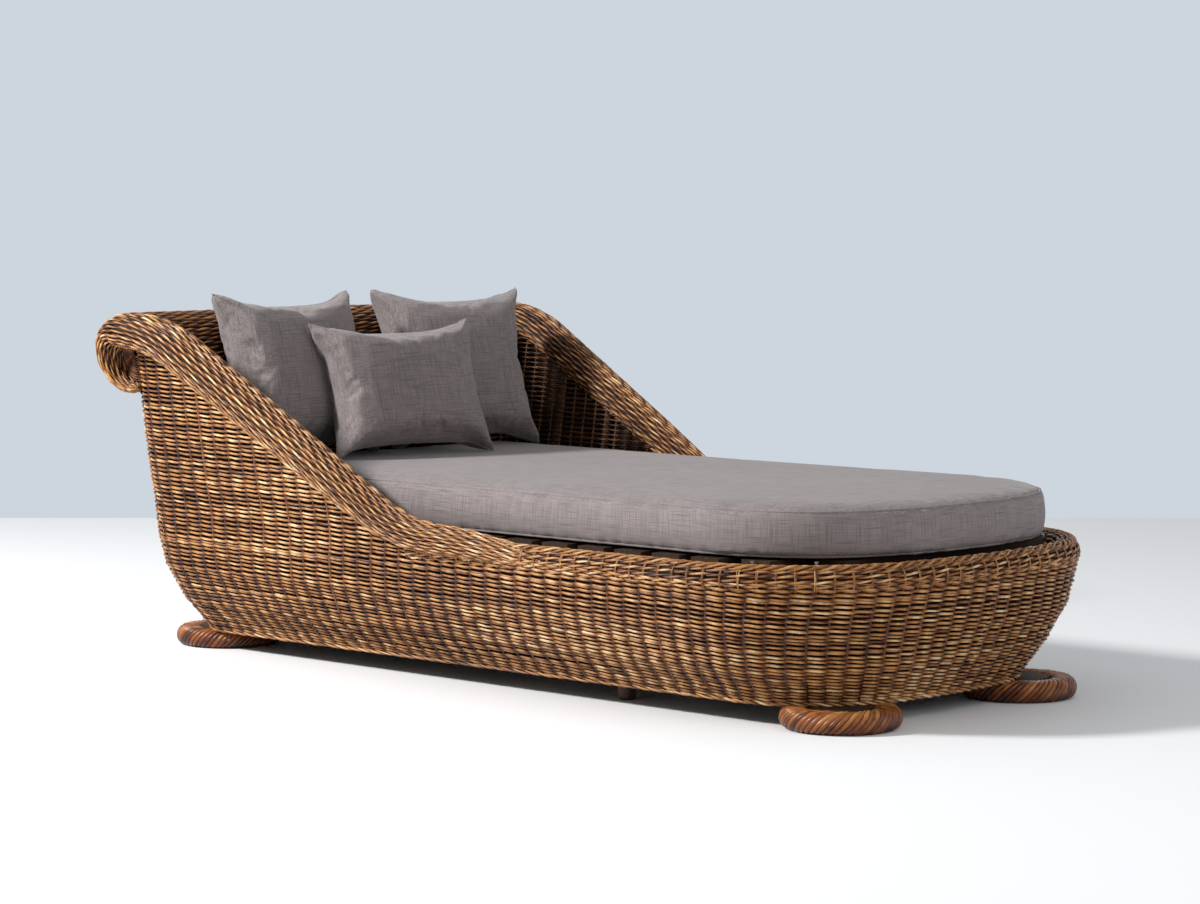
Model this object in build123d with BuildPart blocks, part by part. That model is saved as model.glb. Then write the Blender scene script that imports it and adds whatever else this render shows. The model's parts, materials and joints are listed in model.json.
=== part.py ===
"""Rattan sun lounger: a woven tub on four wound ring feet, with rolled arms, a rolled
headrest, a slatted deck, a boxed mattress and three loose pillows.

Millimetres. +X runs from the head end to the foot end, +Y is the left side of a person
who sits up against the headrest, +Z is up. The origin is on the floor under the middle.
"""

import os
from collections import namedtuple
from math import atan2, cos, pi, radians, sin, sqrt, tan

from build123d import *

os.makedirs("parts", exist_ok=True)

# Plan of the woven tub just above its rim
head_x = -989.0  # outer face of the head wall
foot_x = 1046.0  # outer face of the foot wall
side_half_width = 533.0  # outer face of the side walls
head_corner_radius = 150.0
foot_corner_radius = 342.0
foot_arc_radius = 1600.0
least_corner_radius = 4.0  # of any outline that is drawn in

# Heights
base_z = 42.0  # underside of the woven tub and of the base frame
rim_z = 298.0  # middle of the low rim roll
deck_z = 330.0  # top of the slats, where the mattress lies
crest_z = 729.0  # middle of the arm bands where they meet the headrest roll

# Woven skins
wall_thickness = 10.0
panel_thickness = 8.0

# Flare of the tub, level by level, as shares of the sizes above
wall_rise_shares = (0.0, 0.114, 0.23, 0.332, 0.426, 0.601, 0.79, 1.0)
wall_width_shares = (0.722, 0.854, 0.947, 0.985, 1.0, 1.045, 1.085, 1.122)
wall_head_shares = (0.982, 0.995, 1.0, 1.001, 1.0, 0.997, 0.992, 0.988)
wall_foot_shares = (0.903, 0.951, 0.985, 1.0, 1.003, 1.003, 1.003, 1.003)
wall_corner_shares = (0.687, 0.848, 0.936, 1.0, 1.0, 1.0, 1.0, 1.0)

# Arm band: an S-curve in a plane that leans outwards, then a curl round the headrest roll
arm_lean = 9.0  # degrees from upright
arm_slope = 29.6  # degrees along the straight middle of the arm
arm_low_radius = 400.0
arm_high_radius = 355.0
arm_low_z = 322.0
arm_inset = 12.0  # from the outer face of the side wall in to the arm's middle plane
band_half_width_low = 41.0
band_half_width_high = 62.0
band_half_height_low = 32.0
band_half_height_high = 40.0
band_thicken_share = 0.4  # the band reaches its full height this far up the arm
curl_tip_half_width = 26.0
curl_tip_half_height = 13.0
curl_sweep = 176.0  # degrees that the band's end turns round the headrest roll
arm_pole_radius = 16.0
arm_station_count = 9
curl_station_count = 8

# Headrest roll
roll_x = -916.0
roll_radius = 92.0
roll_skin = 12.0
roll_pole_radius = 18.0
roll_former_thickness = 20.0
roll_former_count = 5
roll_former_margin = 110.0  # from the arm's middle plane to the outermost former
roll_end_inset = 14.0  # from the arm's middle plane to the woven end disc
roll_end_thickness = 8.0
roll_end_gap = 1.5

# Low rim roll
rim_half_width = 30.0
rim_half_height = 31.0
rim_overhang = 4.0  # the rim roll stands this far outside the wall
rim_pole_radius = 12.0

# Inner panels
panel_inset = 36.0  # from the arm's middle plane in to the arm panel's middle
arm_panel_margin = 50.0  # the arm panel stops this far short of the arm's low end
back_panel_low_x = -817.0
back_panel_high_x = -837.0

# Rattan pole frame
base_pole_radius = 18.0
base_pole_inset = 31.0  # from the wall's outer face at the base to the pole's middle
cross_beam_radius = 15.0
cross_beam_pitch = 300.0
cross_beams_headward = 3  # beams between the middle legs and the head
cross_beams_footward = 1
deck_pole_radius = 17.0
deck_head_beam_x = -781.0
stringer_radius = 13.0
stringer_z = 190.0
post_radius = 13.0
side_post_count = 7
side_post_margin = 60.0
foot_post_shares = (0.12, 0.31, 0.5, 0.69, 0.88)
head_post_y_shares = (-0.66, 0.0, 0.66)
back_post_radius = 15.0
back_post_y_shares = (-0.97, -0.33, 0.33, 0.97)
arm_post_radius = 10.0
arm_post_inset = 7.0  # from the arm's middle plane in to the middle of a post's top
arm_post_shares = (0.2, 0.38, 0.56, 0.74)
frame_gap = 0.3  # clearance between pieces that are bound together

# Slats
slat_thickness = 18.0
slat_width = 72.0
slat_pitch = 101.0
slat_count = 17
slat_first_x = -723.0
slat_end_reach = 8.0  # past the middle of the pole that carries it
screw_radius = 2.2
screw_length = 34.0
screw_head_radius = 4.5
screw_head_height = 3.0

# Feet
foot_end_station = 891.0
head_end_station = -930.0
foot_half_track = 287.0
foot_ring_radius = 92.0
foot_section_half_width = 29.0
foot_flat = 3.0  # the ring is flat by this much where it stands and where it carries
foot_core_gap = 0.3
foot_core_lift = 6.0
foot_bolt_radius = 4.0
foot_bolt_rise = 24.0  # how far a bolt reaches into the base pole
foot_bolt_head_radius = 9.0
foot_bolt_head_height = 5.0

# Middle legs
mid_leg_x = 337.0
mid_leg_y = 302.0
mid_leg_radius = 19.5
mid_leg_glide_height = 4.0
mid_leg_chamfer = 2.0

# Mattress
mattress_half_width = 458.0
mattress_head_x = -799.0
mattress_foot_x = 1010.0
mattress_head_corner = 60.0
mattress_foot_corner = 330.0
mattress_foot_arc = 1100.0
mattress_side_height = 94.0
mattress_crown = 14.0
mattress_crown_reach = 95.0
mattress_side_bulge = 5.0
mattress_edge = 5.0
seat_gap = 0.3
crown_rise_shares = (0.0, 0.55, 0.88, 1.0)
crown_reach_shares = (0.0, 0.22, 0.56, 1.0)

# Pillows
rear_pillow_width = 400.0
rear_pillow_height = 385.0
rear_pillow_thickness = 140.0
front_pillow_width = 445.0
front_pillow_height = 325.0
front_pillow_thickness = 120.0
pillow_bow = 14.0  # how far each side is drawn in between its corners
pillow_lift_shares = (1.0, 0.9, 0.66, 0.34, 0.1, 0.0)
pillow_size_shares = (0.3, 0.52, 0.74, 0.9, 0.975, 1.0)
pillow_bow_shares = (-0.9, -0.7, -0.35, 0.25, 0.8, 1.0)
rear_right_pillow_x = -733.0
rear_right_pillow_y = -250.0
rear_left_pillow_x = -708.0
rear_left_pillow_y = 225.0
front_pillow_x = -575.0
front_pillow_y = -70.0
rear_right_pillow_turn = 0.0
rear_left_pillow_turn = -13.0
front_pillow_turn = -7.0
rear_pillow_lean = 16.0
front_pillow_lean = 19.0

# Reach of cuts past what they cut
overrun = 60.0

Plan = namedtuple("Plan", "half_width head foot head_corner foot_corner foot_arc")


def save(piece, name):
    """Label one finished piece and write it."""
    piece.label = name
    export_step(piece, f"parts/{name}.step")


def save_pair(piece, name):
    """Write a right-hand piece and its mirror image."""
    save(piece, name + "_right")
    save(mirror(piece, about=Plane.XZ), name + "_left")


def inset(plan, distance):
    """The same plan drawn a distance further in."""
    return Plan(
        plan.half_width - distance,
        plan.head + distance,
        plan.foot - distance,
        max(least_corner_radius, plan.head_corner - distance),
        max(least_corner_radius, plan.foot_corner - distance),
        plan.foot_arc - distance,
    )


def foot_centres(plan):
    """Centres of the foot arc and of its corner arc, and the angle where they meet."""
    end_x = plan.foot - plan.foot_arc
    corner_y = plan.half_width - plan.foot_corner
    corner_x = end_x + sqrt((plan.foot_arc - plan.foot_corner) ** 2 - corner_y**2)
    return end_x, corner_x, corner_y, atan2(corner_y, corner_x - end_x)


def plan_marks(plan):
    """Joints and arc middles of the plan's right-hand half, head to foot."""
    end_x, corner_x, corner_y, turn = foot_centres(plan)
    middle = (pi / 2 + turn) / 2
    diagonal = plan.head_corner * cos(pi / 4)
    head_centre = (plan.head + plan.head_corner, plan.half_width - plan.head_corner)
    return {
        "head": (plan.head, -head_centre[1]),
        "head_bend": (head_centre[0] - diagonal, -head_centre[1] - diagonal),
        "side_start": (head_centre[0], -plan.half_width),
        "side_end": (corner_x, -plan.half_width),
        "foot_bend": (
            corner_x + plan.foot_corner * cos(middle),
            -corner_y - plan.foot_corner * sin(middle),
        ),
        "foot": (end_x + plan.foot_arc * cos(turn), -plan.foot_arc * sin(turn)),
    }


def left_marks(plan):
    """The same marks on the left-hand side."""
    return {name: (point[0], -point[1]) for name, point in plan_marks(plan).items()}


def half_width_at(plan, x):
    """Half width of a plan at a place along the lounger."""
    end_x, corner_x, corner_y, turn = foot_centres(plan)
    if x < corner_x:
        return plan.half_width
    if x < end_x + plan.foot_arc * cos(turn):
        return corner_y + sqrt(plan.foot_corner**2 - (x - corner_x) ** 2)
    return sqrt(max(0.0, plan.foot_arc**2 - (x - end_x) ** 2))


def plan_face(plan):
    """The filled outline of the tub at one height."""
    right = plan_marks(plan)
    left = left_marks(plan)
    with BuildSketch() as outline:
        with BuildLine():
            Line(left["head"], right["head"])
            ThreePointArc(right["head"], right["head_bend"], right["side_start"])
            Line(right["side_start"], right["side_end"])
            ThreePointArc(right["side_end"], right["foot_bend"], right["foot"])
            ThreePointArc(right["foot"], (plan.foot, 0), left["foot"])
            ThreePointArc(left["foot"], left["foot_bend"], left["side_end"])
            Line(left["side_end"], left["side_start"])
            ThreePointArc(left["side_start"], left["head_bend"], left["head"])
        make_face()
    return outline.sketch


def side_path(plan, height, start_x=None):
    """The straight right-hand run of a plan, at a height."""
    marks = plan_marks(plan)
    start = marks["side_start"] if start_x is None else (start_x, -plan.half_width)
    with BuildLine(Plane.XY.offset(height)) as path:
        Line(start, marks["side_end"])
    return path.line


def head_path(plan, height):
    """The head run of a plan with both of its corners."""
    right = plan_marks(plan)
    left = left_marks(plan)
    with BuildLine(Plane.XY.offset(height)) as path:
        ThreePointArc(left["side_start"], left["head_bend"], left["head"])
        Line(left["head"], right["head"])
        ThreePointArc(right["head"], right["head_bend"], right["side_start"])
    return path.line


def foot_path(plan, height, start_x=None):
    """The rounded foot run of a plan, with its straight sides if they are asked for."""
    right = plan_marks(plan)
    left = left_marks(plan)
    with BuildLine(Plane.XY.offset(height)) as path:
        if start_x is not None:
            Line((start_x, -plan.half_width), right["side_end"])
        ThreePointArc(right["side_end"], right["foot_bend"], right["foot"])
        ThreePointArc(right["foot"], (plan.foot, 0), left["foot"])
        ThreePointArc(left["foot"], left["foot_bend"], left["side_end"])
        if start_x is not None:
            Line(left["side_end"], (start_x, plan.half_width))
    return path.line


def pole_along(path, radius):
    """A round pole that follows a path of lines and arcs."""
    with BuildPart() as pole:
        with BuildSketch(path ^ 0):
            Circle(radius)
        sweep(path=path)
    return pole.part


def straight_pole(start, end, radius):
    """A straight round pole between two points."""
    with BuildLine() as axis:
        Line(start, end)
    return pole_along(axis.line, radius)


def wall_level(index):
    """The tub's plan at one of its levels."""
    return Plan(
        side_half_width * wall_width_shares[index],
        head_x * wall_head_shares[index],
        foot_x * wall_foot_shares[index],
        head_corner_radius,
        foot_corner_radius * wall_corner_shares[index],
        foot_arc_radius,
    )


def wall_at(height):
    """The tub's outer plan at a height, straight from level to level."""
    rise = (height - base_z) / (crest_z - base_z)
    index = max(i for i, low in enumerate(wall_rise_shares[:-1]) if low <= rise)
    low, high = wall_rise_shares[index], wall_rise_shares[index + 1]
    part = (rise - low) / (high - low)
    return Plan(
        *[a + part * (b - a) for a, b in zip(wall_level(index), wall_level(index + 1))]
    )


def tub(distance):
    """The whole flared tub as a filled body, drawn in by a distance."""
    with BuildPart() as body:
        for index, share in enumerate(wall_rise_shares):
            with BuildSketch(Plane.XY.offset(base_z + share * (crest_z - base_z))):
                add(plan_face(inset(wall_level(index), distance)))
        loft(ruled=True)
    return body.part


# The arm's middle plane on the right-hand side, and the S-curve of the band in it
lean = radians(arm_lean)
slope = radians(arm_slope)
arm_foot_y = wall_at(rim_z).half_width - arm_inset
arm_plane = Plane(
    origin=(0, -arm_foot_y, rim_z),
    x_dir=(1, 0, 0),
    z_dir=(0, -cos(lean), -sin(lean)),
)


def arm_y(height):
    """Distance of the arm's middle plane from the centre line at a height."""
    return arm_foot_y + (height - rim_z) * tan(lean)


def up_arm(height):
    """A height as a distance up the leaning arm plane."""
    return (height - rim_z) / cos(lean)


crest_up = up_arm(crest_z)
low_up = up_arm(arm_low_z)
bend_rise = (arm_low_radius + arm_high_radius) * (1 - cos(slope))
arm_run = (crest_up - low_up - bend_rise) / sin(slope)
high_bend_x = roll_x + arm_high_radius * sin(slope)
high_bend_up = crest_up - arm_high_radius * (1 - cos(slope))
low_bend_x = high_bend_x + arm_run * cos(slope)
low_bend_up = high_bend_up - arm_run * sin(slope)
arm_low_x = low_bend_x + arm_low_radius * sin(slope)
low_mid = (
    arm_low_x - arm_low_radius * sin(slope / 2),
    low_up + arm_low_radius * (1 - cos(slope / 2)),
)
high_mid = (
    roll_x + arm_high_radius * sin(slope / 2),
    crest_up - arm_high_radius * (1 - cos(slope / 2)),
)


def arm_line(plane):
    """The arm band's middle line in a plane, from the rim up to the headrest roll."""
    with BuildLine(plane) as path:
        ThreePointArc((arm_low_x, low_up), low_mid, (low_bend_x, low_bend_up))
        Line((low_bend_x, low_bend_up), (high_bend_x, high_bend_up))
        ThreePointArc((high_bend_x, high_bend_up), high_mid, (roll_x, crest_up))
    return path.line


def arm_outline(corners):
    """The flat region between the arm's middle line and a row of corners."""
    with BuildSketch() as region:
        with BuildLine():
            ThreePointArc((arm_low_x, low_up), low_mid, (low_bend_x, low_bend_up))
            Line((low_bend_x, low_bend_up), (high_bend_x, high_bend_up))
            ThreePointArc((high_bend_x, high_bend_up), high_mid, (roll_x, crest_up))
            Polyline((roll_x, crest_up), *corners, (arm_low_x, low_up))
        make_face()
    return region.sketch


arm_path = arm_line(arm_plane)

# Right-hand arm band, filled
with BuildPart() as arm_band_filled:
    for station in range(arm_station_count):
        share = station / (arm_station_count - 1)
        half_width = band_half_width_low + share * (band_half_width_high - band_half_width_low)
        thicken = min(1.0, share / band_thicken_share)
        half_height = band_half_height_low + thicken * (
            band_half_height_high - band_half_height_low
        )
        place = Plane(arm_path @ share, x_dir=arm_plane.z_dir, z_dir=arm_path % share)
        with BuildSketch(place):
            Ellipse(half_width, half_height)
    loft()

# The band's end, which thins out as it curls round the headrest roll
with BuildPart() as curl_filled:
    for station in range(curl_station_count):
        share = station / (curl_station_count - 1)
        angle = share * radians(curl_sweep)
        half_width = band_half_width_high + share * (curl_tip_half_width - band_half_width_high)
        half_height = band_half_height_high + share * (
            curl_tip_half_height - band_half_height_high
        )
        reach = roll_radius - half_height
        axis_up = crest_up + band_half_height_high - roll_radius
        middle = arm_plane.from_local_coords(
            (roll_x - reach * sin(angle), axis_up + reach * cos(angle), 0)
        )
        ahead = arm_plane.x_dir * -cos(angle) - arm_plane.y_dir * sin(angle)
        with BuildSketch(Plane(middle, x_dir=arm_plane.z_dir, z_dir=ahead)):
            Ellipse(half_width, half_height)
    loft()

arm_pole = pole_along(arm_path, arm_pole_radius)

# Headrest roll, filled, between the middle planes of the two arms
roll_z = crest_z + band_half_height_high - roll_radius
left_arm_plane = Plane(
    origin=(0, arm_foot_y, rim_z), x_dir=(1, 0, 0), z_dir=(0, cos(lean), -sin(lean))
)
with BuildPart() as roll_filled:
    with BuildSketch(Plane.XZ):
        with Locations((roll_x, roll_z)):
            Circle(roll_radius)
    extrude(amount=arm_y(crest_z) + overrun, both=True)
    split(bisect_by=arm_plane, keep=Keep.BOTTOM)
    split(bisect_by=left_arm_plane, keep=Keep.BOTTOM)

# Arm rolls: woven bands over a bent pole
with BuildPart() as arm_roll:
    add(arm_band_filled.part)
    add(arm_pole, mode=Mode.SUBTRACT)
save_pair(arm_roll.part, "arm_roll")
save_pair(arm_pole, "arm_pole")
save_pair(curl_filled.part, "arm_curl")

# Headrest roll: a woven tube with end discs, formers and a pole inside
with BuildPart() as headrest_roll:
    add(roll_filled.part)
    with BuildSketch(Plane.XZ):
        with Locations((roll_x, roll_z)):
            Circle(roll_radius - roll_skin)
    extrude(amount=arm_y(crest_z) + overrun, both=True, mode=Mode.SUBTRACT)
    for side_piece in (arm_band_filled.part, curl_filled.part):
        add(side_piece, mode=Mode.SUBTRACT)
        add(mirror(side_piece, about=Plane.XZ), mode=Mode.SUBTRACT)
    split(bisect_by=arm_plane.offset(-roll_end_inset), keep=Keep.BOTTOM)
    split(bisect_by=left_arm_plane.offset(-roll_end_inset), keep=Keep.BOTTOM)
save(headrest_roll.part, "headrest_roll")

with BuildPart() as roll_end:
    with BuildSketch(arm_plane.offset(-roll_end_inset)):
        with Locations((roll_x, up_arm(roll_z))):
            Circle(roll_radius - roll_skin - roll_end_gap)
    extrude(amount=-roll_end_thickness)
    add(arm_band_filled.part, mode=Mode.SUBTRACT)
    add(curl_filled.part, mode=Mode.SUBTRACT)
save_pair(roll_end.part, "headrest_end")

former_reach = arm_y(roll_z) - roll_former_margin
with BuildPart() as roll_pole:
    with BuildSketch(Plane.XZ):
        with Locations((roll_x, roll_z)):
            Circle(roll_pole_radius)
    extrude(amount=former_reach + roll_former_thickness, both=True)
save(roll_pole.part, "headrest_pole")

with BuildPart() as roll_formers:
    for number in range(roll_former_count):
        place_y = former_reach * (2 * number / (roll_former_count - 1) - 1)
        with BuildSketch(Plane.XZ.offset(-place_y)):
            with Locations((roll_x, roll_z)):
                Circle(roll_radius - roll_skin)
                Circle(roll_pole_radius, mode=Mode.SUBTRACT)
        extrude(amount=roll_former_thickness / 2, both=True)
save(roll_formers.part, "headrest_formers")

# Low rim roll over its pole, with the tub's plan
rim_plan = inset(wall_at(rim_z), rim_half_width - rim_overhang)
rim_start_x = arm_low_x + frame_gap
rim_pole_path = foot_path(rim_plan, rim_z, rim_start_x)
rim_pole = pole_along(rim_pole_path, rim_pole_radius)


def rim_filled(path):
    """The rim roll along a path, before it has the bore for its pole."""
    with BuildPart() as roll:
        with BuildSketch(Plane(path @ 0, x_dir=(0, 0, 1), z_dir=path % 0)):
            Ellipse(rim_half_height, rim_half_width)
        sweep(path=path)
    return roll.part


rim_side = rim_filled(side_path(rim_plan, rim_z, rim_start_x))
rim_foot = rim_filled(foot_path(rim_plan, rim_z))
with BuildPart() as rim_roll_side:
    add(rim_side)
    add(rim_pole, mode=Mode.SUBTRACT)
save_pair(rim_roll_side.part, "rim_roll")
with BuildPart() as rim_roll_foot:
    add(rim_foot)
    add(rim_pole, mode=Mode.SUBTRACT)
save(rim_roll_foot.part, "rim_roll_foot")
save(rim_pole, "rim_pole")

# Outer wall: the right-hand half, cut along the arm and the rim
upright_plane = Plane(origin=(0, 0, rim_z), x_dir=(1, 0, 0), z_dir=(0, -1, 0))
top_up = crest_up + overrun
wall_cut_corners = (
    (head_x - overrun, crest_up),
    (head_x - overrun, top_up),
    (foot_x + overrun, top_up),
    (foot_x + overrun, 0),
    (arm_low_x, 0),
)
with BuildPart() as wall_half:
    add(tub(0))
    add(tub(wall_thickness), mode=Mode.SUBTRACT)
    split(bisect_by=Plane.XZ, keep=Keep.TOP)
    with BuildSketch(upright_plane):
        add(arm_outline(wall_cut_corners))
    extrude(amount=side_half_width + 2 * overrun, mode=Mode.SUBTRACT)
    add(arm_band_filled.part, mode=Mode.SUBTRACT)
    add(curl_filled.part, mode=Mode.SUBTRACT)
    add(roll_filled.part, mode=Mode.SUBTRACT)
    add(rim_side, mode=Mode.SUBTRACT)
    add(rim_foot, mode=Mode.SUBTRACT)



def wall_piece(low_x, high_x):
    """The part of the right-hand half wall between two places along the lounger."""
    with BuildPart() as piece:
        add(wall_half.part)
        split(bisect_by=Plane.YZ.offset(low_x), keep=Keep.TOP)
        split(bisect_by=Plane.YZ.offset(high_x), keep=Keep.BOTTOM)
    return piece.part


head_split_x = head_x + head_corner_radius
foot_split_x = plan_marks(rim_plan)["side_end"][0]
save_pair(wall_piece(head_split_x, foot_split_x), "outer_wall")

for name, low_x, high_x in (
    ("outer_wall_head", head_x - overrun, head_split_x),
    ("outer_wall_foot", foot_split_x, foot_x + overrun),
):
    half = wall_piece(low_x, high_x)
    with BuildPart() as whole:
        add(half)
        add(mirror(half, about=Plane.XZ))
    save(whole.part, name)

# Inner back panel, leaning between the arm panels
deck_pole_z = deck_z - slat_thickness - deck_pole_radius
panel_low_z = deck_z - slat_thickness + frame_gap
panel_plane = arm_plane.offset(-panel_inset)
back_lean = atan2(back_panel_low_x - back_panel_high_x, roll_z - panel_low_z)
back_plane = Plane(
    origin=(back_panel_low_x, 0, panel_low_z),
    x_dir=(0, 1, 0),
    z_dir=(cos(back_lean), 0, sin(back_lean)),
)
with BuildPart() as back_panel:
    with BuildSketch(back_plane):
        with Locations((0, -panel_thickness)):
            Rectangle(
                2 * arm_y(crest_z),
                (roll_z - panel_low_z) / cos(back_lean) + panel_thickness,
                align=(Align.CENTER, Align.MIN),
            )
    extrude(amount=-panel_thickness)
    split(bisect_by=Plane.XY.offset(panel_low_z), keep=Keep.TOP)
    split(bisect_by=panel_plane, keep=Keep.BOTTOM)
    split(bisect_by=left_arm_plane.offset(-panel_inset), keep=Keep.BOTTOM)
    add(roll_filled.part, mode=Mode.SUBTRACT)
save(back_panel.part, "back_panel")

# Inner arm panels
panel_corners = (
    (head_x, crest_up),
    (head_x, up_arm(panel_low_z)),
    (arm_low_x, up_arm(panel_low_z)),
)
with BuildPart() as arm_panel:
    with BuildSketch(panel_plane):
        add(arm_outline(panel_corners))
    extrude(amount=panel_thickness / 2, both=True)
    split(bisect_by=back_plane, keep=Keep.TOP)
    split(bisect_by=Plane.YZ.offset(arm_low_x - arm_panel_margin), keep=Keep.BOTTOM)
    add(arm_band_filled.part, mode=Mode.SUBTRACT)
    add(roll_filled.part, mode=Mode.SUBTRACT)
save_pair(arm_panel.part, "arm_panel")
# Base frame: side poles, two bows and cross beams
base_plan = inset(wall_at(base_z), base_pole_inset)
base_pole_z = base_z + base_pole_radius
beam_places = [
    mid_leg_x + cross_beam_pitch * number
    for number in range(-cross_beams_headward, cross_beams_footward + 1)
]
base_side = pole_along(side_path(base_plan, base_pole_z), base_pole_radius)
base_head = pole_along(head_path(base_plan, base_pole_z), base_pole_radius)
base_foot = pole_along(foot_path(base_plan, base_pole_z), base_pole_radius)

corner_x, corner_y = foot_centres(base_plan)[1:3]
head_bend_x = base_plan.head + base_plan.head_corner
head_bend_y = base_plan.half_width - base_plan.head_corner
foot_bolt_x = corner_x + sqrt(base_plan.foot_corner**2 - (foot_half_track - corner_y) ** 2)
head_bolt_x = head_bend_x - sqrt(
    base_plan.head_corner**2 - (foot_half_track - head_bend_y) ** 2
)
bolt_places = [
    (x, y) for x in (foot_bolt_x, head_bolt_x) for y in (-foot_half_track, foot_half_track)
]
bolt_top_z = base_z + foot_bolt_rise
bolt_head_top_z = foot_core_lift + foot_bolt_head_height

# Bolts that hold the feet to the base poles
with BuildPart() as foot_bolts:
    with BuildSketch(Plane.XY.offset(foot_core_lift)):
        with Locations(*bolt_places):
            Circle(foot_bolt_head_radius)
    extrude(amount=foot_bolt_head_height)
    with BuildSketch(Plane.XY.offset(bolt_head_top_z)):
        with Locations(*bolt_places):
            Circle(foot_bolt_radius)
    extrude(amount=bolt_top_z - bolt_head_top_z)
save(foot_bolts.part, "foot_bolts")

# Deck frame: side poles, a foot bow, a head beam and a centre pole
deck_plan = inset(rim_plan, rim_half_width + deck_pole_radius + frame_gap)
deck_side = pole_along(side_path(deck_plan, deck_pole_z), deck_pole_radius)
deck_foot = pole_along(foot_path(deck_plan, deck_pole_z), deck_pole_radius)
deck_side_left = mirror(deck_side, about=Plane.XZ)

with BuildPart() as deck_head_beam:
    add(
        straight_pole(
            (deck_head_beam_x, -deck_plan.half_width, deck_pole_z),
            (deck_head_beam_x, deck_plan.half_width, deck_pole_z),
            deck_pole_radius,
        )
    )
    add(deck_side, mode=Mode.SUBTRACT)
    add(deck_side_left, mode=Mode.SUBTRACT)
save(deck_head_beam.part, "deck_head_beam")

with BuildPart() as deck_centre_pole:
    add(
        straight_pole(
            (deck_head_beam_x, 0, deck_pole_z), (deck_plan.foot, 0, deck_pole_z), deck_pole_radius
        )
    )
    add(deck_head_beam.part, mode=Mode.SUBTRACT)
    add(deck_foot, mode=Mode.SUBTRACT)
save(deck_centre_pole.part, "deck_centre_pole")

# Slats, and the screws that hold them to the side poles and the foot bow
slat_places = [slat_first_x + slat_pitch * number for number in range(slat_count)]
slat_places = [
    (x, half_width_at(deck_plan, x + slat_width / 2) + slat_end_reach) for x in slat_places
]
screw_places = []
for x, half_length in slat_places:
    screw_y = half_width_at(deck_plan, x)
    screw_places += [(x, -screw_y), (x, screw_y)]

with BuildPart() as slat_screws:
    with BuildSketch(Plane.XY.offset(deck_z)):
        with Locations(*screw_places):
            Circle(screw_head_radius)
    extrude(amount=-screw_head_height)
    with BuildSketch(Plane.XY.offset(deck_z - screw_head_height)):
        with Locations(*screw_places):
            Circle(screw_radius)
    extrude(amount=screw_head_height - screw_length)
save(slat_screws.part, "slat_screws")

with BuildPart() as slats:
    for x, half_length in slat_places:
        with BuildSketch(Plane.XY.offset(deck_z)):
            with Locations((x, 0)):
                Rectangle(slat_width, 2 * half_length)
        extrude(amount=-slat_thickness)
    add(slat_screws.part, mode=Mode.SUBTRACT)
save(slats.part, "deck_slats")

for name, pole in (("deck_pole_right", deck_side), ("deck_pole_left", deck_side_left)):
    with BuildPart() as drilled:
        add(pole)
        add(slat_screws.part, mode=Mode.SUBTRACT)
    save(drilled.part, name)
with BuildPart() as deck_foot_bow:
    add(deck_foot)
    add(slat_screws.part, mode=Mode.SUBTRACT)
save(deck_foot_bow.part, "deck_foot_bow")

# Cross beams under the deck, and the base poles with their bolt holes
with BuildPart() as cross_beams:
    for x in beam_places:
        beam_y = half_width_at(base_plan, x)
        add(
            straight_pole(
                (x, -beam_y, base_pole_z), (x, beam_y, base_pole_z), cross_beam_radius
            )
        )
    for pole in (base_side, mirror(base_side, about=Plane.XZ), base_foot):
        add(pole, mode=Mode.SUBTRACT)
save(cross_beams.part, "base_cross_beams")

save_pair(base_side, "base_pole")
for name, bow in (("base_head_bow", base_head), ("base_foot_bow", base_foot)):
    with BuildPart() as drilled:
        add(bow)
        add(foot_bolts.part, mode=Mode.SUBTRACT)
    save(drilled.part, name)


def posts(ends, radius, cutters):
    """Separate straight posts, each trimmed where it meets the poles at its ends."""
    with BuildPart() as group:
        for start, end in ends:
            add(straight_pole(start, end, radius))
        for cutter in cutters:
            add(cutter, mode=Mode.SUBTRACT)
    return group.part


# Posts between the base frame and the deck frame
side_start_x = deck_head_beam_x + side_post_margin
side_end_x = plan_marks(base_plan)["side_end"][0] - side_post_margin
side_post_places = [
    side_start_x + (side_end_x - side_start_x) * number / (side_post_count - 1)
    for number in range(side_post_count)
]
side_posts = posts(
    [
        ((x, -base_plan.half_width, base_pole_z), (x, -deck_plan.half_width, deck_pole_z))
        for x in side_post_places
    ],
    post_radius,
    (base_side, deck_side, base_head),
)
save_pair(side_posts, "side_posts")

low_bow = foot_path(base_plan, base_pole_z)
high_bow = foot_path(deck_plan, deck_pole_z)
foot_posts = posts(
    [(low_bow @ share, high_bow @ share) for share in foot_post_shares],
    post_radius,
    (base_foot, deck_foot, deck_centre_pole.part),
)
save(foot_posts, "foot_posts")

head_posts = posts(
    [
        (
            (base_plan.head, share * head_bend_y, base_pole_z),
            (deck_head_beam_x, share * head_bend_y, deck_pole_z),
        )
        for share in head_post_y_shares
    ],
    post_radius,
    (base_head, deck_head_beam.part, deck_centre_pole.part),
)
save(head_posts, "head_posts")

centre_posts = posts(
    [((x, 0, base_pole_z), (x, 0, deck_pole_z)) for x in beam_places],
    post_radius,
    (cross_beams.part, deck_centre_pole.part),
)
save(centre_posts, "centre_posts")

# Back posts, from the base frame up to the headrest roll
back_posts = posts(
    [
        (
            (base_plan.head, share * head_bend_y, base_pole_z),
            (roll_x, share * head_bend_y, roll_z),
        )
        for share in back_post_y_shares
    ],
    back_post_radius,
    (base_head, roll_filled.part),
)
save(back_posts, "back_posts")

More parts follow.
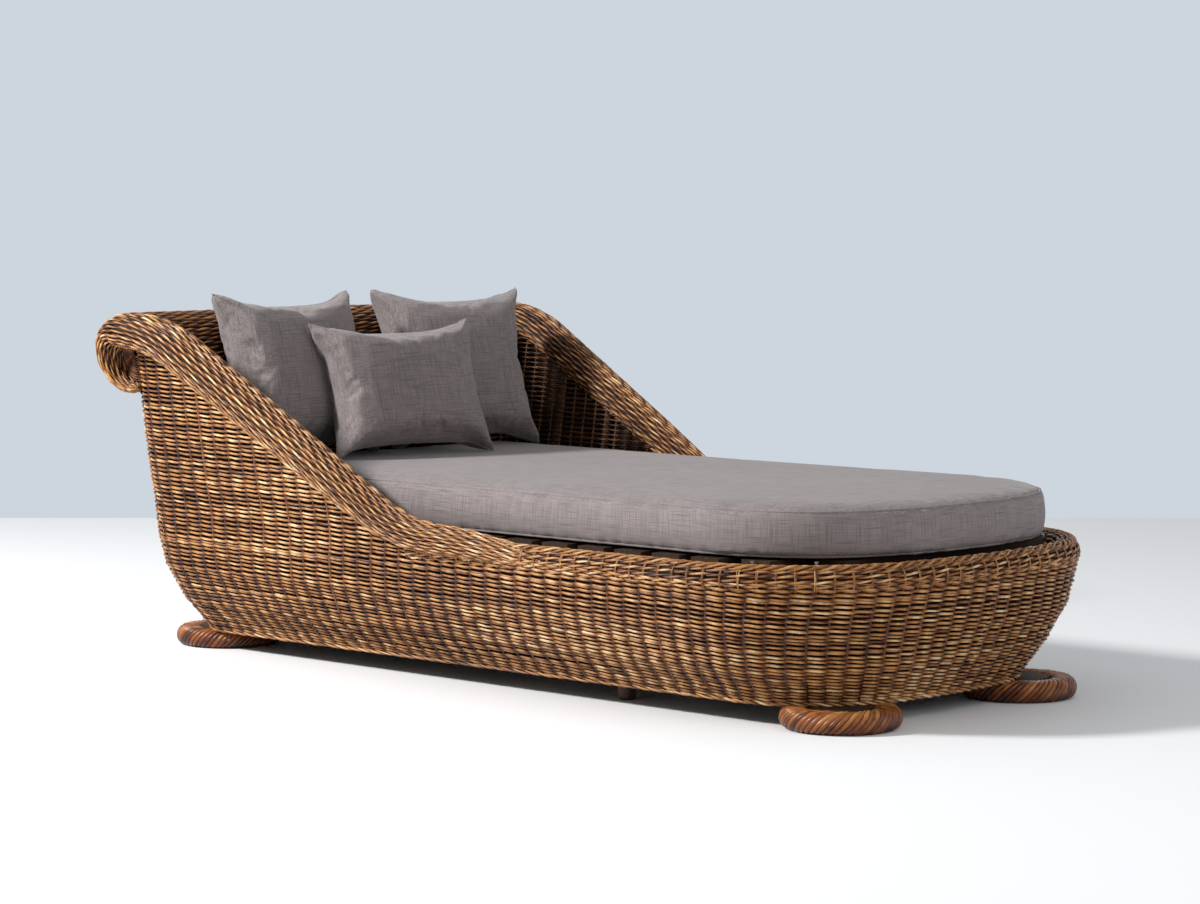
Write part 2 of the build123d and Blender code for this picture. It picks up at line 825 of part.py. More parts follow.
# Stringers inside the side walls, and the posts that carry the arms
wall_flare = atan2(
    wall_at(stringer_z).half_width - wall_at(stringer_z - stringer_radius).half_width,
    stringer_radius,
)
stringer_inset = wall_thickness + (stringer_radius + frame_gap) / cos(wall_flare)
stringer_plan = inset(wall_at(stringer_z), stringer_inset)
stringer = pole_along(side_path(stringer_plan, stringer_z), stringer_radius)
save_pair(stringer, "side_stringer")
arm_tops = [arm_path @ share - arm_plane.z_dir * arm_post_inset for share in arm_post_shares]
arm_posts = posts(
    [((top.X, -stringer_plan.half_width, stringer_z), top) for top in arm_tops],
    arm_post_radius,
    (stringer, arm_band_filled.part),
)
save_pair(arm_posts, "arm_posts")

# Ring feet: a wound ring round a wooden core at each corner
foot_section_half_height = base_z / 2 + foot_flat
for end_name, station, bolt_x in (
    ("foot_end", foot_end_station, foot_bolt_x),
    ("head_end", head_end_station, head_bolt_x),
):
    with BuildPart() as ring:
        with BuildSketch(Plane.XZ.offset(foot_half_track)):
            with Locations((station + foot_ring_radius, base_z / 2)):
                Ellipse(foot_section_half_width, foot_section_half_height)
                Rectangle(
                    2 * foot_section_half_width, base_z, mode=Mode.INTERSECT
                )
        revolve(axis=Axis((station, -foot_half_track, 0), (0, 0, 1)))
    save_pair(ring.part, f"ring_foot_{end_name}")

core_radius = foot_ring_radius - foot_section_half_width - foot_core_gap
core_places = [
    (x, y)
    for x in (foot_end_station, head_end_station)
    for y in (-foot_half_track, foot_half_track)
]
with BuildPart() as foot_cores:
    with BuildSketch(Plane.XY.offset(foot_core_lift)):
        with Locations(*core_places):
            Circle(core_radius)
    extrude(amount=base_z - foot_core_lift)
    add(foot_bolts.part, mode=Mode.SUBTRACT)
save(foot_cores.part, "foot_cores")

# Middle legs with their glides
with BuildPart() as mid_leg:
    with BuildSketch(Plane.XY.offset(mid_leg_glide_height)):
        with Locations((mid_leg_x, -mid_leg_y)):
            Circle(mid_leg_radius)
    extrude(amount=base_z + base_pole_radius - cross_beam_radius - mid_leg_glide_height)
    chamfer(mid_leg.faces().sort_by(Axis.Z)[0].edges(), mid_leg_chamfer)
save_pair(mid_leg.part, "middle_leg")

with BuildPart() as mid_leg_glides:
    with BuildSketch():
        with Locations((mid_leg_x, -mid_leg_y), (mid_leg_x, mid_leg_y)):
            Circle(mid_leg_radius - 2 * mid_leg_chamfer)
    extrude(amount=mid_leg_glide_height)
save(mid_leg_glides.part, "middle_leg_glides")

# Mattress: a boxed cushion with bulging sides and a crowned top
mattress_plan = Plan(
    mattress_half_width,
    mattress_head_x,
    mattress_foot_x,
    mattress_head_corner,
    mattress_foot_corner,
    mattress_foot_arc,
)
mattress_low_z = deck_z + seat_gap
mattress_seam_z = mattress_low_z + mattress_side_height
mattress_top_z = mattress_seam_z + mattress_crown
side_levels = (
    (mattress_low_z, mattress_edge),
    (mattress_low_z + mattress_edge, 0),
    ((mattress_low_z + mattress_seam_z) / 2, -mattress_side_bulge),
    (mattress_seam_z, 0),
)
with BuildPart() as mattress:
    for height, distance in side_levels:
        with BuildSketch(Plane.XY.offset(height)):
            add(plan_face(inset(mattress_plan, distance)))
    loft(ruled=True)
    for rise_share, reach_share in zip(crown_rise_shares, crown_reach_shares):
        with BuildSketch(Plane.XY.offset(mattress_seam_z + rise_share * mattress_crown)):
            add(plan_face(inset(mattress_plan, reach_share * mattress_crown_reach)))
    loft(ruled=True)
save(mattress.part, "mattress")


def pillow_face(width, height, bow):
    """A pillow's outline: four corners joined by gently bowed sides."""
    half_x, half_y = width / 2, height / 2
    with BuildSketch() as outline:
        with BuildLine():
            ThreePointArc((-half_x, -half_y), (0, bow - half_y), (half_x, -half_y))
            ThreePointArc((half_x, -half_y), (half_x - bow, 0), (half_x, half_y))
            ThreePointArc((half_x, half_y), (0, half_y - bow), (-half_x, half_y))
            ThreePointArc((-half_x, half_y), (bow - half_x, 0), (-half_x, -half_y))
        make_face()
    return outline.sketch


def pillow(width, height, thickness, x, y, turn, lean_back):
    """A knife-edged pillow that stands on the mattress and leans back."""
    turn, tilt = radians(turn), radians(lean_back)
    centre_z = mattress_top_z + seat_gap + height / 2 * cos(tilt)
    place = Plane(
        origin=(x, y, centre_z),
        x_dir=(-sin(turn), cos(turn), 0),
        z_dir=(cos(turn) * cos(tilt), sin(turn) * cos(tilt), sin(tilt)),
    )
    with BuildPart() as body:
        for side in (-1, 1):
            for lift, size, bow in pillow_levels:
                with BuildSketch(place.offset(side * lift * thickness / 2)):
                    add(pillow_face(width * size, height * size, pillow_bow * bow))
            loft(ruled=True)
    return body.part


pillow_levels = list(zip(pillow_lift_shares, pillow_size_shares, pillow_bow_shares))
for name, size, place_x, place_y, turn_angle, lean_angle in (
    (
        "rear_pillow_right",
        (rear_pillow_width, rear_pillow_height, rear_pillow_thickness),
        rear_right_pillow_x,
        rear_right_pillow_y,
        rear_right_pillow_turn,
        rear_pillow_lean,
    ),
    (
        "rear_pillow_left",
        (rear_pillow_width, rear_pillow_height, rear_pillow_thickness),
        rear_left_pillow_x,
        rear_left_pillow_y,
        rear_left_pillow_turn,
        rear_pillow_lean,
    ),
    (
        "front_pillow",
        (front_pillow_width, front_pillow_height, front_pillow_thickness),
        front_pillow_x,
        front_pillow_y,
        front_pillow_turn,
        front_pillow_lean,
    ),
):
    save(pillow(*size, place_x, place_y, turn_angle, lean_angle), name)
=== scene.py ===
# %% [markdown]
# # A woven rattan sun lounger
# The lounger is a tub of woven rattan with rolled arms that climb to a rolled headrest.
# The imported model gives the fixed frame: every piece below is placed from the boxes of its
# nodes, in metres, with +X towards the foot end and +Z up. What this lesson adds is what a
# plain solid can't show: every strand of the weave, the sewn covers and the finishes.

import json
import math

import bmesh
import bpy
import numpy as np
from mathutils import Euler, Matrix, Vector
from mathutils.bvhtree import BVHTree


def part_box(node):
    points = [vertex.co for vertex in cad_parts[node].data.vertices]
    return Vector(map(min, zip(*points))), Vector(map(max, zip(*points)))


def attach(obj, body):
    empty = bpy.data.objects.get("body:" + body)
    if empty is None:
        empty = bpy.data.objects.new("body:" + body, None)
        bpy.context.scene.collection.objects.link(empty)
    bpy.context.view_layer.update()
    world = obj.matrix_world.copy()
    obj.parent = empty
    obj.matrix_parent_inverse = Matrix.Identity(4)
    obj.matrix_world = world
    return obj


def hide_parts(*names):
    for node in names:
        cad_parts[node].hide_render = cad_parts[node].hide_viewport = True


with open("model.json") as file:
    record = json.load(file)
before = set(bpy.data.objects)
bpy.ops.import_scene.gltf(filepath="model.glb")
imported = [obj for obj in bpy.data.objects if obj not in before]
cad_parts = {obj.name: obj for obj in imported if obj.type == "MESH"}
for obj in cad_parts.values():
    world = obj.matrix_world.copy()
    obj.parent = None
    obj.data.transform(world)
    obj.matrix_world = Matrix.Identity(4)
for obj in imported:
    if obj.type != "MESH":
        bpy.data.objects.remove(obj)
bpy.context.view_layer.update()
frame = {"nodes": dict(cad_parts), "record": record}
MM = 0.001
rng = np.random.default_rng(7)

# %% [markdown]
# ## Camera
# The photograph was taken with a long lens from near the foot end, a little over a metre
# above the floor. Nearly parallel lines in the picture ask for a long focal length, and the
# floor's height in the frame gives the tilt.

# %% Camera
SENSOR_WIDTH = 36.0  # millimetres
LENS_LENGTH = 103.7  # millimetres
CAMERA_PLACE = (5.133, -5.436, 1.05)
LOOK_DOWN = 4.41  # degrees
LOOK_ROUND = 43.5  # degrees

camera_data = bpy.data.cameras.new("photo_camera")
camera_data.sensor_width = SENSOR_WIDTH
camera_data.lens = LENS_LENGTH
camera = bpy.data.objects.new("photo_camera", camera_data)
camera.location = CAMERA_PLACE
camera.rotation_euler = Euler((math.radians(90.0 - LOOK_DOWN), 0.0, math.radians(LOOK_ROUND)))
bpy.context.scene.collection.objects.link(camera)
bpy.context.scene.camera = camera
bpy.context.scene.view_settings.view_transform = "Standard"
print("camera at", CAMERA_PLACE, "lens", LENS_LENGTH)

# %% [markdown]
# ## Rattan and its tones
# Peeled rattan is never one colour: each strand has its own tone between straw and dark
# brown, with darker nodes along it. Every strand below therefore carries a random number in
# an attribute called `strand`, and the material turns that number into a tone. The same
# number also holds painted shade where the strand dives behind its neighbours, and a painted
# highlight where it lies on top. Noise on Object coordinates adds the nodes and a slow change
# over the whole piece.

# %% Material helpers
def new_material(name, roughness):
    """An empty procedural material, with its node tree and its shader."""
    material = bpy.data.materials.new(name)
    material.use_nodes = True
    shader = material.node_tree.nodes["Principled BSDF"]
    shader.inputs["Roughness"].default_value = roughness
    return material, material.node_tree, shader


def noise(tree, scale, detail=2.0, stretch=(1.0, 1.0, 1.0), follows=None):
    """Noise on Object coordinates, or on an attribute that follows the surface."""
    if follows:
        coordinates = tree.nodes.new("ShaderNodeAttribute")
        coordinates.attribute_name = follows
        places = coordinates.outputs["Vector"]
    else:
        places = tree.nodes.new("ShaderNodeTexCoord").outputs["Object"]
    mapping = tree.nodes.new("ShaderNodeMapping")
    mapping.inputs["Scale"].default_value = stretch
    texture = tree.nodes.new("ShaderNodeTexNoise")
    texture.inputs["Scale"].default_value = scale
    texture.inputs["Detail"].default_value = detail
    tree.links.new(places, mapping.inputs["Vector"])
    tree.links.new(mapping.outputs["Vector"], texture.inputs["Vector"])
    return texture.outputs["Fac"]


def ramp(tree, value, stops):
    """A colour ramp through (place, colour) stops."""
    node = tree.nodes.new("ShaderNodeValToRGB")
    elements = node.color_ramp.elements
    while len(elements) < len(stops):
        elements.new(0.5)
    for element, (place, colour) in zip(elements, stops):
        element.position = place
        element.color = (*colour, 1.0)
    tree.links.new(value, node.inputs["Fac"])
    return node.outputs["Color"]


def maths(tree, operation, first, second):
    """One Math node on two values, each a socket or a number."""
    node = tree.nodes.new("ShaderNodeMath")
    node.operation = operation
    for socket, value in zip(node.inputs, (first, second)):
        if isinstance(value, float):
            socket.default_value = value
        else:
            tree.links.new(value, socket)
    return node.outputs["Value"]


def multiply_colour(tree, colour, tint, amount):
    """Darken a colour by another, by an amount from 0 to 1."""
    node = tree.nodes.new("ShaderNodeMix")
    node.data_type = "RGBA"
    node.blend_type = "MULTIPLY"
    node.inputs["Factor"].default_value = amount
    tree.links.new(colour, node.inputs["A"])
    tree.links.new(tint, node.inputs["B"])
    return node.outputs["Result"]


def bump(tree, shader, height, strength, distance):
    """Relief on a shader."""
    node = tree.nodes.new("ShaderNodeBump")
    node.inputs["Strength"].default_value = strength
    node.inputs["Distance"].default_value = distance
    tree.links.new(height, node.inputs["Height"])
    tree.links.new(node.outputs["Normal"], shader.inputs["Normal"])


# %% [markdown]
# Peeled rattan has a faint natural gloss, so the shader gets a thin coat over a fairly dull
# base. The tone picks its colour from a ramp: dark brown where a strand dives into shadow,
# chestnut in the middle, and straw at the top. Straw comes partly from each strand's own
# tone and partly from the painted highlight where a strand lies on top in the light. Three
# ramps serve the outside, the browner inside and the oiled feet.

# %% Rattan materials
DRIFT_SCALE = 3.0  # the slow change of tone over the whole piece, in cycles per metre
DRIFT_DEPTH = 0.5
NODE_SCALE = 55.0  # the darker nodes along a strand
NODE_TINTS = ((0.32, (0.42, 0.33, 0.27)), (0.5, (1.0, 1.0, 1.0)))
NODE_DEPTH = 0.75
GRAIN_SCALE = 900.0
GRAIN_RELIEF = 0.4 * MM


def rattan(name, tones, roughness, coat):
    """Rattan strands: a tone for each strand, with nodes and grain."""
    material, tree, shader = new_material(name, roughness)
    shader.inputs["Specular IOR Level"].default_value = 0.28
    shader.inputs["Coat Weight"].default_value = coat
    shader.inputs["Coat Roughness"].default_value = 0.3
    strand = tree.nodes.new("ShaderNodeAttribute")
    strand.attribute_name = "strand"
    level = maths(tree, "SUBTRACT", noise(tree, DRIFT_SCALE), 0.5)
    drift = maths(tree, "MULTIPLY", level, DRIFT_DEPTH)
    colour = ramp(tree, maths(tree, "ADD", strand.outputs["Fac"], drift), tones)
    nodes = ramp(tree, noise(tree, NODE_SCALE, 3.0), NODE_TINTS)
    colour = multiply_colour(tree, colour, nodes, NODE_DEPTH)
    tree.links.new(colour, shader.inputs["Base Color"])
    bump(tree, shader, noise(tree, GRAIN_SCALE, 3.0), 0.25, GRAIN_RELIEF)
    return material


outer_rattan = rattan(
    "outer_rattan",
    (
        (0.0, (0.022, 0.007, 0.003)),
        (0.25, (0.11, 0.036, 0.010)),
        (0.5, (0.275, 0.108, 0.029)),
        (0.74, (0.46, 0.225, 0.075)),
        (1.0, (0.72, 0.51, 0.28)),
    ),
    0.42,
    0.1,
)
inner_rattan = rattan(
    "inner_rattan",
    (
        (0.0, (0.020, 0.006, 0.002)),
        (0.3, (0.09, 0.030, 0.009)),
        (0.6, (0.24, 0.09, 0.026)),
        (1.0, (0.45, 0.23, 0.08)),
    ),
    0.45,
    0.08,
)
foot_rattan = rattan(
    "foot_rattan",
    (
        (0.0, (0.030, 0.007, 0.002)),
        (0.35, (0.13, 0.034, 0.008)),
        (0.7, (0.30, 0.098, 0.024)),
        (1.0, (0.56, 0.27, 0.09)),
    ),
    0.36,
    0.2,
)
print("rattan finishes", outer_rattan.name, inner_rattan.name, foot_rattan.name)

# %% [markdown]
# The hidden frame is poles, planks and a few fittings. One noise, stretched along the grain
# where there is one, mixes a dark and a light tone and gives a little relief. The same
# helper makes the moulded glides and the dark layer behind the weave, whose near-black is
# painted shade. The screws and bolts are zinc, a metal whose colour is slightly blotched.


# %% Wood, plastic and zinc
def plain_wood(name, dark, light, scale, stretch, roughness):
    """Wood or a pole: a dark and a light tone mixed along the grain."""
    material, tree, shader = new_material(name, roughness)
    shader.inputs["Specular IOR Level"].default_value = 0.2
    grain = noise(tree, scale, 4.0, stretch)
    tree.links.new(ramp(tree, grain, ((0.3, dark), (0.7, light))), shader.inputs["Base Color"])
    bump(tree, shader, grain, 0.2, GRAIN_RELIEF)
    return material


weave_shadow = plain_wood(
    "weave_shadow", (0.012, 0.006, 0.003), (0.05, 0.022, 0.009), 140.0, (1.0, 1.0, 1.0), 0.8
)
pole_wood = plain_wood(
    "pole_wood", (0.10, 0.050, 0.020), (0.22, 0.125, 0.055), 40.0, (1.0, 1.0, 1.0), 0.55
)
# The slat wood is coloured near black: painted shade for the dark gap under the mattress, where
# the slats show.
slat_wood = plain_wood(
    "slat_wood", (0.022, 0.012, 0.007), (0.055, 0.030, 0.016), 30.0, (6.0, 0.35, 6.0), 0.65
)
dark_wood = plain_wood(
    "dark_wood", (0.035, 0.015, 0.008), (0.10, 0.045, 0.022), 40.0, (3.0, 3.0, 0.5), 0.35
)
glide_plastic = plain_wood(
    "glide_plastic", (0.02, 0.018, 0.016), (0.035, 0.032, 0.03), 300.0, (1.0, 1.0, 1.0), 0.6
)
zinc, zinc_tree, zinc_shader = new_material("zinc_plate", 0.32)
zinc_shader.inputs["Metallic"].default_value = 1.0
zinc_tones = ((0.3, (0.50, 0.49, 0.46)), (0.7, (0.66, 0.65, 0.62)))
zinc_colour = ramp(zinc_tree, noise(zinc_tree, 220.0), zinc_tones)
zinc_tree.links.new(zinc_colour, zinc_shader.inputs["Base Color"])
print("materials so far", len(bpy.data.materials))

# %% [markdown]
# ## Strands
# A strand is a thin round rod that follows a line. A curve with a bevel makes it in one
# step. Thousands of them go into one curve, which becomes a mesh, because only a mesh can
# carry the random tone of each strand, with its painted highlight and shade, as an attribute.

# %% Strand helper
STRAND_SIDES = 6
TONE_RUN = 14  # points between changes of tone
TONE_SPREAD = 0.17
SHADE_DEPTH = 0.62
SHADE_MIDDLE = 0.66


def tones_along(shade):
    """Tone at each point of a strand: its own slow change, with painted shade and highlight."""
    count = len(shade)
    knots = np.arange(0, count + TONE_RUN, TONE_RUN)
    slow = np.interp(np.arange(count), knots, rng.normal(0.5, TONE_SPREAD, len(knots)))
    return np.clip(slow + SHADE_DEPTH * (shade - SHADE_MIDDLE), 0.0, 1.0)


def strands(name, lines, radius, material, body="root", uneven=0.12, closed=False):
    """One piece made of many round strands.

    Each line is an array of points with a fourth column: 1 where the strand lies on top,
    and 0 where it dives behind its neighbours. From this column the tone gets a painted
    highlight on top and painted shade where the strand dives.
    """
    data = bpy.data.curves.new(name, "CURVE")
    data.dimensions = "3D"
    data.bevel_depth = radius
    data.bevel_resolution = (STRAND_SIDES - 4) // 2
    data.use_fill_caps = not closed
    tones = []
    for line in lines:
        spline = data.splines.new("POLY")
        count = len(line)
        spline.points.add(count - 1)
        spline.points.foreach_set(
            "co", np.c_[line[:, :3], np.ones(count)].astype(np.float32).ravel()
        )
        thickness = rng.normal(1.0, uneven) * (1.0 + 0.5 * uneven * rng.standard_normal(count))
        spline.points.foreach_set("radius", np.clip(thickness, 0.6, 1.4).astype(np.float32))
        spline.use_cyclic_u = closed
        spline.use_smooth = True
        tones.append(tones_along(line[:, 3]))
    holder = bpy.data.objects.new(name + "_curve", data)
    bpy.context.scene.collection.objects.link(holder)
    bpy.context.view_layer.update()
    mesh = bpy.data.meshes.new_from_object(
        holder.evaluated_get(bpy.context.evaluated_depsgraph_get())
    )
    bpy.data.objects.remove(holder)
    bpy.data.curves.remove(data)
    tubes = np.repeat(np.concatenate(tones), STRAND_SIDES)
    ends = [np.repeat([tone[-1], tone[0]], 0 if closed else STRAND_SIDES) for tone in tones]
    ends = np.concatenate(ends[::-1])
    values = np.r_[ends, tubes].astype(np.float32)
    if len(values) != len(mesh.vertices):
        raise ValueError(f"{name}: {len(mesh.vertices)} vertices, {len(values)} tones")
    mesh.attributes.new("strand", "FLOAT", "POINT").data.foreach_set("value", values)
    mesh.name = name
    mesh.materials.clear()
    mesh.materials.append(material)
    piece = bpy.data.objects.new(name, mesh)
    bpy.context.scene.collection.objects.link(piece)
    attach(piece, body)
    triangles = sum(len(p.vertices) - 2 for p in mesh.polygons)
    print(name, "strands", len(lines), "triangles", triangles)
    return piece


# %% [markdown]
# Two strands that twist round each other, half a turn from stake to stake, are a pairing
# weave. The next helper gives the sideways and lengthways shift of each of the two, and its
# painted light: a highlight where it lies in front, and shade where it crosses behind.

# %% Pair helper
def pair_shift(phase, out, along):
    """Shifts and shade of the two strands of a twisted pair, for phases in half turns."""
    turn = np.pi * phase
    pair = []
    for side in (1.0, -1.0):
        rise = side * np.cos(turn)
        crown = np.sign(rise) * np.abs(rise) ** 0.7
        pair.append((out * crown, side * along * np.sin(turn), np.clip(crown, 0.0, 1.0)))
    return pair


# %% [markdown]
# ## The tub's shape
# The outline of the tub at each height is a straight head end with two corners, straight
# sides, and a rounded foot end. It flares from a narrow base. The lengths below are those of
# the wall's solids, and the shares say how the flare goes from level to level. Strands that
# follow these functions lie on the solids without any fitting.

# %% Shape of the tub
arm_plane_lean = math.radians(9.0)
base_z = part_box("outer_wall_foot")[0].z
crest_z = 0.729
head_x = -0.989
foot_x = 1.046
side_half_width = 0.533
head_corner = 0.150
foot_corner = 0.342
foot_arc = 1.600
wall_rise_shares = (0.0, 0.114, 0.23, 0.332, 0.426, 0.601, 0.79, 1.0)
wall_width_shares = (0.722, 0.854, 0.947, 0.985, 1.0, 1.045, 1.085, 1.122)
wall_head_shares = (0.982, 0.995, 1.0, 1.001, 1.0, 0.997, 0.992, 0.988)
wall_foot_shares = (0.903, 0.951, 0.985, 1.0, 1.003, 1.003, 1.003, 1.003)
wall_corner_shares = (0.687, 0.848, 0.936, 1.0, 1.0, 1.0, 1.0, 1.0)


def tub_plan(z, inward=0.0):
    """Half width, head, foot, corner radii and foot arc of the tub at a height."""
    rise = (z - base_z) / (crest_z - base_z)
    width, head, foot, corner = (
        np.interp(rise, wall_rise_shares, shares)
        for shares in (wall_width_shares, wall_head_shares, wall_foot_shares, wall_corner_shares)
    )
    return (
        side_half_width * width - inward,
        head_x * head + inward,
        foot_x * foot - inward,
        head_corner - inward,
        foot_corner * corner - inward,
        foot_arc - inward,
    )


def plan_parts(plan):
    """Centres and angles of the foot end's arcs, and the lengths of the half outline's runs."""
    half, head, foot, head_r, foot_r, arc_r = plan
    end_x = foot - arc_r
    corner_y = half - foot_r
    corner_x = end_x + math.sqrt((arc_r - foot_r) ** 2 - corner_y**2)
    turn = math.atan2(corner_y, corner_x - end_x)
    lengths = (
        half - head_r,
        head_r * math.pi / 2,
        corner_x - head - head_r,
        foot_r * (math.pi / 2 - turn),
        arc_r * turn,
    )
    return end_x, corner_x, corner_y, turn, lengths


RIM_Z = 0.298
rim_lengths = np.array(plan_parts(tub_plan(RIM_Z))[4])
half_round = rim_lengths.sum()
print("length round the rim", round(2 * half_round, 3))


def tub_points(places, z, inward=0.0):
    """Points and outward directions on the tub at a height.

    A place runs along the outline at the rim's height: 0 is the middle of the head, minus
    goes round the right-hand side to the foot, and plus round the left-hand side.
    """
    plan = tub_plan(z, inward)
    half, head, foot, head_r, foot_r, arc_r = plan
    end_x, corner_x, corner_y, turn, _ = plan_parts(plan)
    ends = np.cumsum(rim_lengths)
    starts = ends - rim_lengths
    distance = np.abs(places)
    share = [np.clip((distance - a) / (b - a), 0.0, 1.0) for a, b in zip(starts, ends)]
    run = np.searchsorted(ends[:-1], distance)
    corner_angle = share[1] * np.pi / 2
    foot_angle = np.pi / 2 + share[3] * (turn - np.pi / 2)
    end_angle = turn * (1.0 - share[4])
    none, one = np.zeros_like(distance), np.ones_like(distance)
    # one row for each of x, y and the outward direction, one entry for each run
    rows = (
        (
            head * one,
            head + head_r - head_r * np.cos(corner_angle),
            head + head_r + share[2] * (corner_x - head - head_r),
            corner_x + foot_r * np.cos(foot_angle),
            end_x + arc_r * np.cos(end_angle),
        ),
        (
            share[0] * (half - head_r),
            half - head_r + head_r * np.sin(corner_angle),
            half * one,
            corner_y + foot_r * np.sin(foot_angle),
            arc_r * np.sin(end_angle),
        ),
        (-one, -np.cos(corner_angle), none, np.cos(foot_angle), np.cos(end_angle)),
        (none, np.sin(corner_angle), one, np.sin(foot_angle), np.sin(end_angle)),
    )
    x, y, normal_x, normal_y = (np.choose(run, row) for row in rows)
    side = np.where(places < 0, -1.0, 1.0)
    points = np.c_[x, side * y, np.full_like(x, z)]
    return points, np.c_[normal_x, side * normal_y, none]


# %% [markdown]
# ## The arm's line
# Each arm band starts level on the rim, climbs in a straight slope and levels out on the
# headrest roll, in a plane that leans outwards. The line is worked out in that plane.

# %% Arm line
roll_low, roll_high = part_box("headrest_roll")
roll_x = (roll_low.x + roll_high.x) / 2
roll_z = (roll_low.z + roll_high.z) / 2
roll_radius = (roll_high.z - roll_low.z) / 2
arm_slope = math.radians(29.6)
arm_low_radius = 0.400
arm_high_radius = 0.355
arm_low_z = 0.322
arm_inset = 0.012
band_half_widths = (0.041, 0.062)
band_half_heights = (0.032, 0.040)
band_thicken_share = 0.4
arm_foot_y = tub_plan(RIM_Z)[0] - arm_inset
crest_up = (crest_z - RIM_Z) / math.cos(arm_plane_lean)
low_up = (arm_low_z - RIM_Z) / math.cos(arm_plane_lean)
bend_rise = (arm_low_radius + arm_high_radius) * (1 - math.cos(arm_slope))
arm_run = (crest_up - low_up - bend_rise) / math.sin(arm_slope)
high_bend = (
    roll_x + arm_high_radius * math.sin(arm_slope),
    crest_up - arm_high_radius * (1 - math.cos(arm_slope)),
)
low_bend = (
    high_bend[0] + arm_run * math.cos(arm_slope),
    high_bend[1] - arm_run * math.sin(arm_slope),
)
arm_low_x = low_bend[0] + arm_low_radius * math.sin(arm_slope)
low_length = arm_low_radius * arm_slope
high_length = arm_high_radius * arm_slope
arm_length = low_length + arm_run + high_length


def arm_line(distance):
    """Place and direction, in the arm's plane, at a distance up from the low end."""
    if distance < low_length:
        angle = distance / arm_low_radius
        x = arm_low_x - arm_low_radius * math.sin(angle)
        up = low_up + arm_low_radius * (1 - math.cos(angle))
        return x, up, angle
    if distance < low_length + arm_run:
        part = distance - low_length
        x = low_bend[0] - part * math.cos(arm_slope)
        return x, low_bend[1] + part * math.sin(arm_slope), arm_slope
    angle = (arm_length - distance) / arm_high_radius
    x = roll_x + arm_high_radius * math.sin(angle)
    return x, crest_up - arm_high_radius * (1 - math.cos(angle)), angle


def arm_place(x, up, side):
    """A point in the arm's plane as a point of the lounger. Side is -1 on the right."""
    return np.array(
        [
            x,
            side * (arm_foot_y + up * math.sin(arm_plane_lean)),
            RIM_Z + up * math.cos(arm_plane_lean),
        ]
    )


ARM_SAMPLES = 120
arm_table = np.array([arm_line(d)[:2] for d in np.linspace(0, arm_length, ARM_SAMPLES)])
print("length of the arm's line", round(arm_length, 3))


def arm_height(x):
    """Height of the arm's line at places along the lounger."""
    up = np.interp(x, arm_table[::-1, 0], arm_table[::-1, 1])
    return RIM_Z + up * math.cos(arm_plane_lean)


# %% [markdown]
# ## The wall
# The wall is a pairing weave: stakes stand up from the base every 43 mm, and rows of two
# twisted strands go round them. Each row shows one bulging stretch between two stakes, so
# the wall reads as columns of short bright dashes with dark gaps, made stronger by a painted
# highlight on each bulge and painted shade where the strands cross. The rows are spaced along
# the slope of the wall, so that they stay even where it flares. Each row is cut where the
# arm, the roll or the rim covers it. On the long sides the stakes lean a little, because
# the tub was woven round a form that is narrower at the base.

# %% Wall weave
STAKE_PITCH = 0.043
STAKE_SLANT = 0.3
SIDE_START = 0.40  # place where the stakes begin to lean
SIDE_RAMP = 0.70  # length over which they reach their full lean
ROW_PITCH = 0.0100
ROW_WANDER = 0.8 * MM
WANDER_RUN = 24  # samples between changes of a row's height
ROW_UNEVEN = 0.035  # spread of the rows' starts, in half turns
WALL_STRAND = 2.6 * MM
WALL_OUT = 3.7 * MM
WALL_DIP = 1.3 * MM
WALL_SLACK = 0.16  # share by which a bulge varies
WALL_MIDDLE = 6.2 * MM  # depth of the strands' middle line below the solid's skin
RIM_BLEND = 0.045  # the height over which the wall swells out to meet the rim
RIM_PROUD = 4.0 * MM
RIM_COVER = 2 * MM
ROLL_COVER = 8 * MM
SAMPLES_PER_STAKE = 4
SLOPE_SAMPLES = 600

stake_count = 2 * round(half_round / STAKE_PITCH)
stake_pitch = 2 * half_round / stake_count


def ease_in(share):
    """A share from 0 to 1 that starts and ends gently."""
    return share * share * (3 - 2 * share)


def stake_lean(places, z):
    """How far the stakes at some places lean towards the head end, at a height."""
    distance = np.abs(places)
    to_side = np.clip((distance - SIDE_START) / SIDE_RAMP, 0.0, 1.0)
    to_foot = np.clip((half_round - distance) / SIDE_RAMP, 0.0, 1.0)
    return np.sign(places) * STAKE_SLANT * max(0.0, RIM_Z - z) * np.minimum(to_side, to_foot)


def row_heights(low, high, pitch):
    """Heights of the rows, spaced along the slope of the side wall."""
    z = np.linspace(low, high, SLOPE_SAMPLES)
    width = np.array([tub_plan(h)[0] for h in z])
    length = np.r_[0.0, np.cumsum(np.hypot(np.diff(z), np.diff(width)))]
    return np.interp(np.arange(0.0, length[-1], pitch), length, z)


def wall_top(points):
    """Height where the rim, the arm or the headrest roll covers the wall."""
    x = points[:, 0]
    reach = np.sqrt(np.clip(roll_radius**2 - (x - roll_x) ** 2, 0.0, None))
    under_roll = roll_z - reach + ROLL_COVER
    covered = (x < roll_x) | ((x < roll_x + roll_radius) & (np.abs(points[:, 1]) < arm_foot_y))
    top = np.where(covered, under_roll, arm_height(x))
    return np.where(x < arm_low_x, top, RIM_Z + RIM_COVER)


def runs(keep):
    """Stretches of a row where it shows."""
    edges = np.flatnonzero(np.diff(np.r_[0, keep.astype(int), 0]))
    return [(a, b) for a, b in zip(edges[::2], edges[1::2]) if b - a > 2]


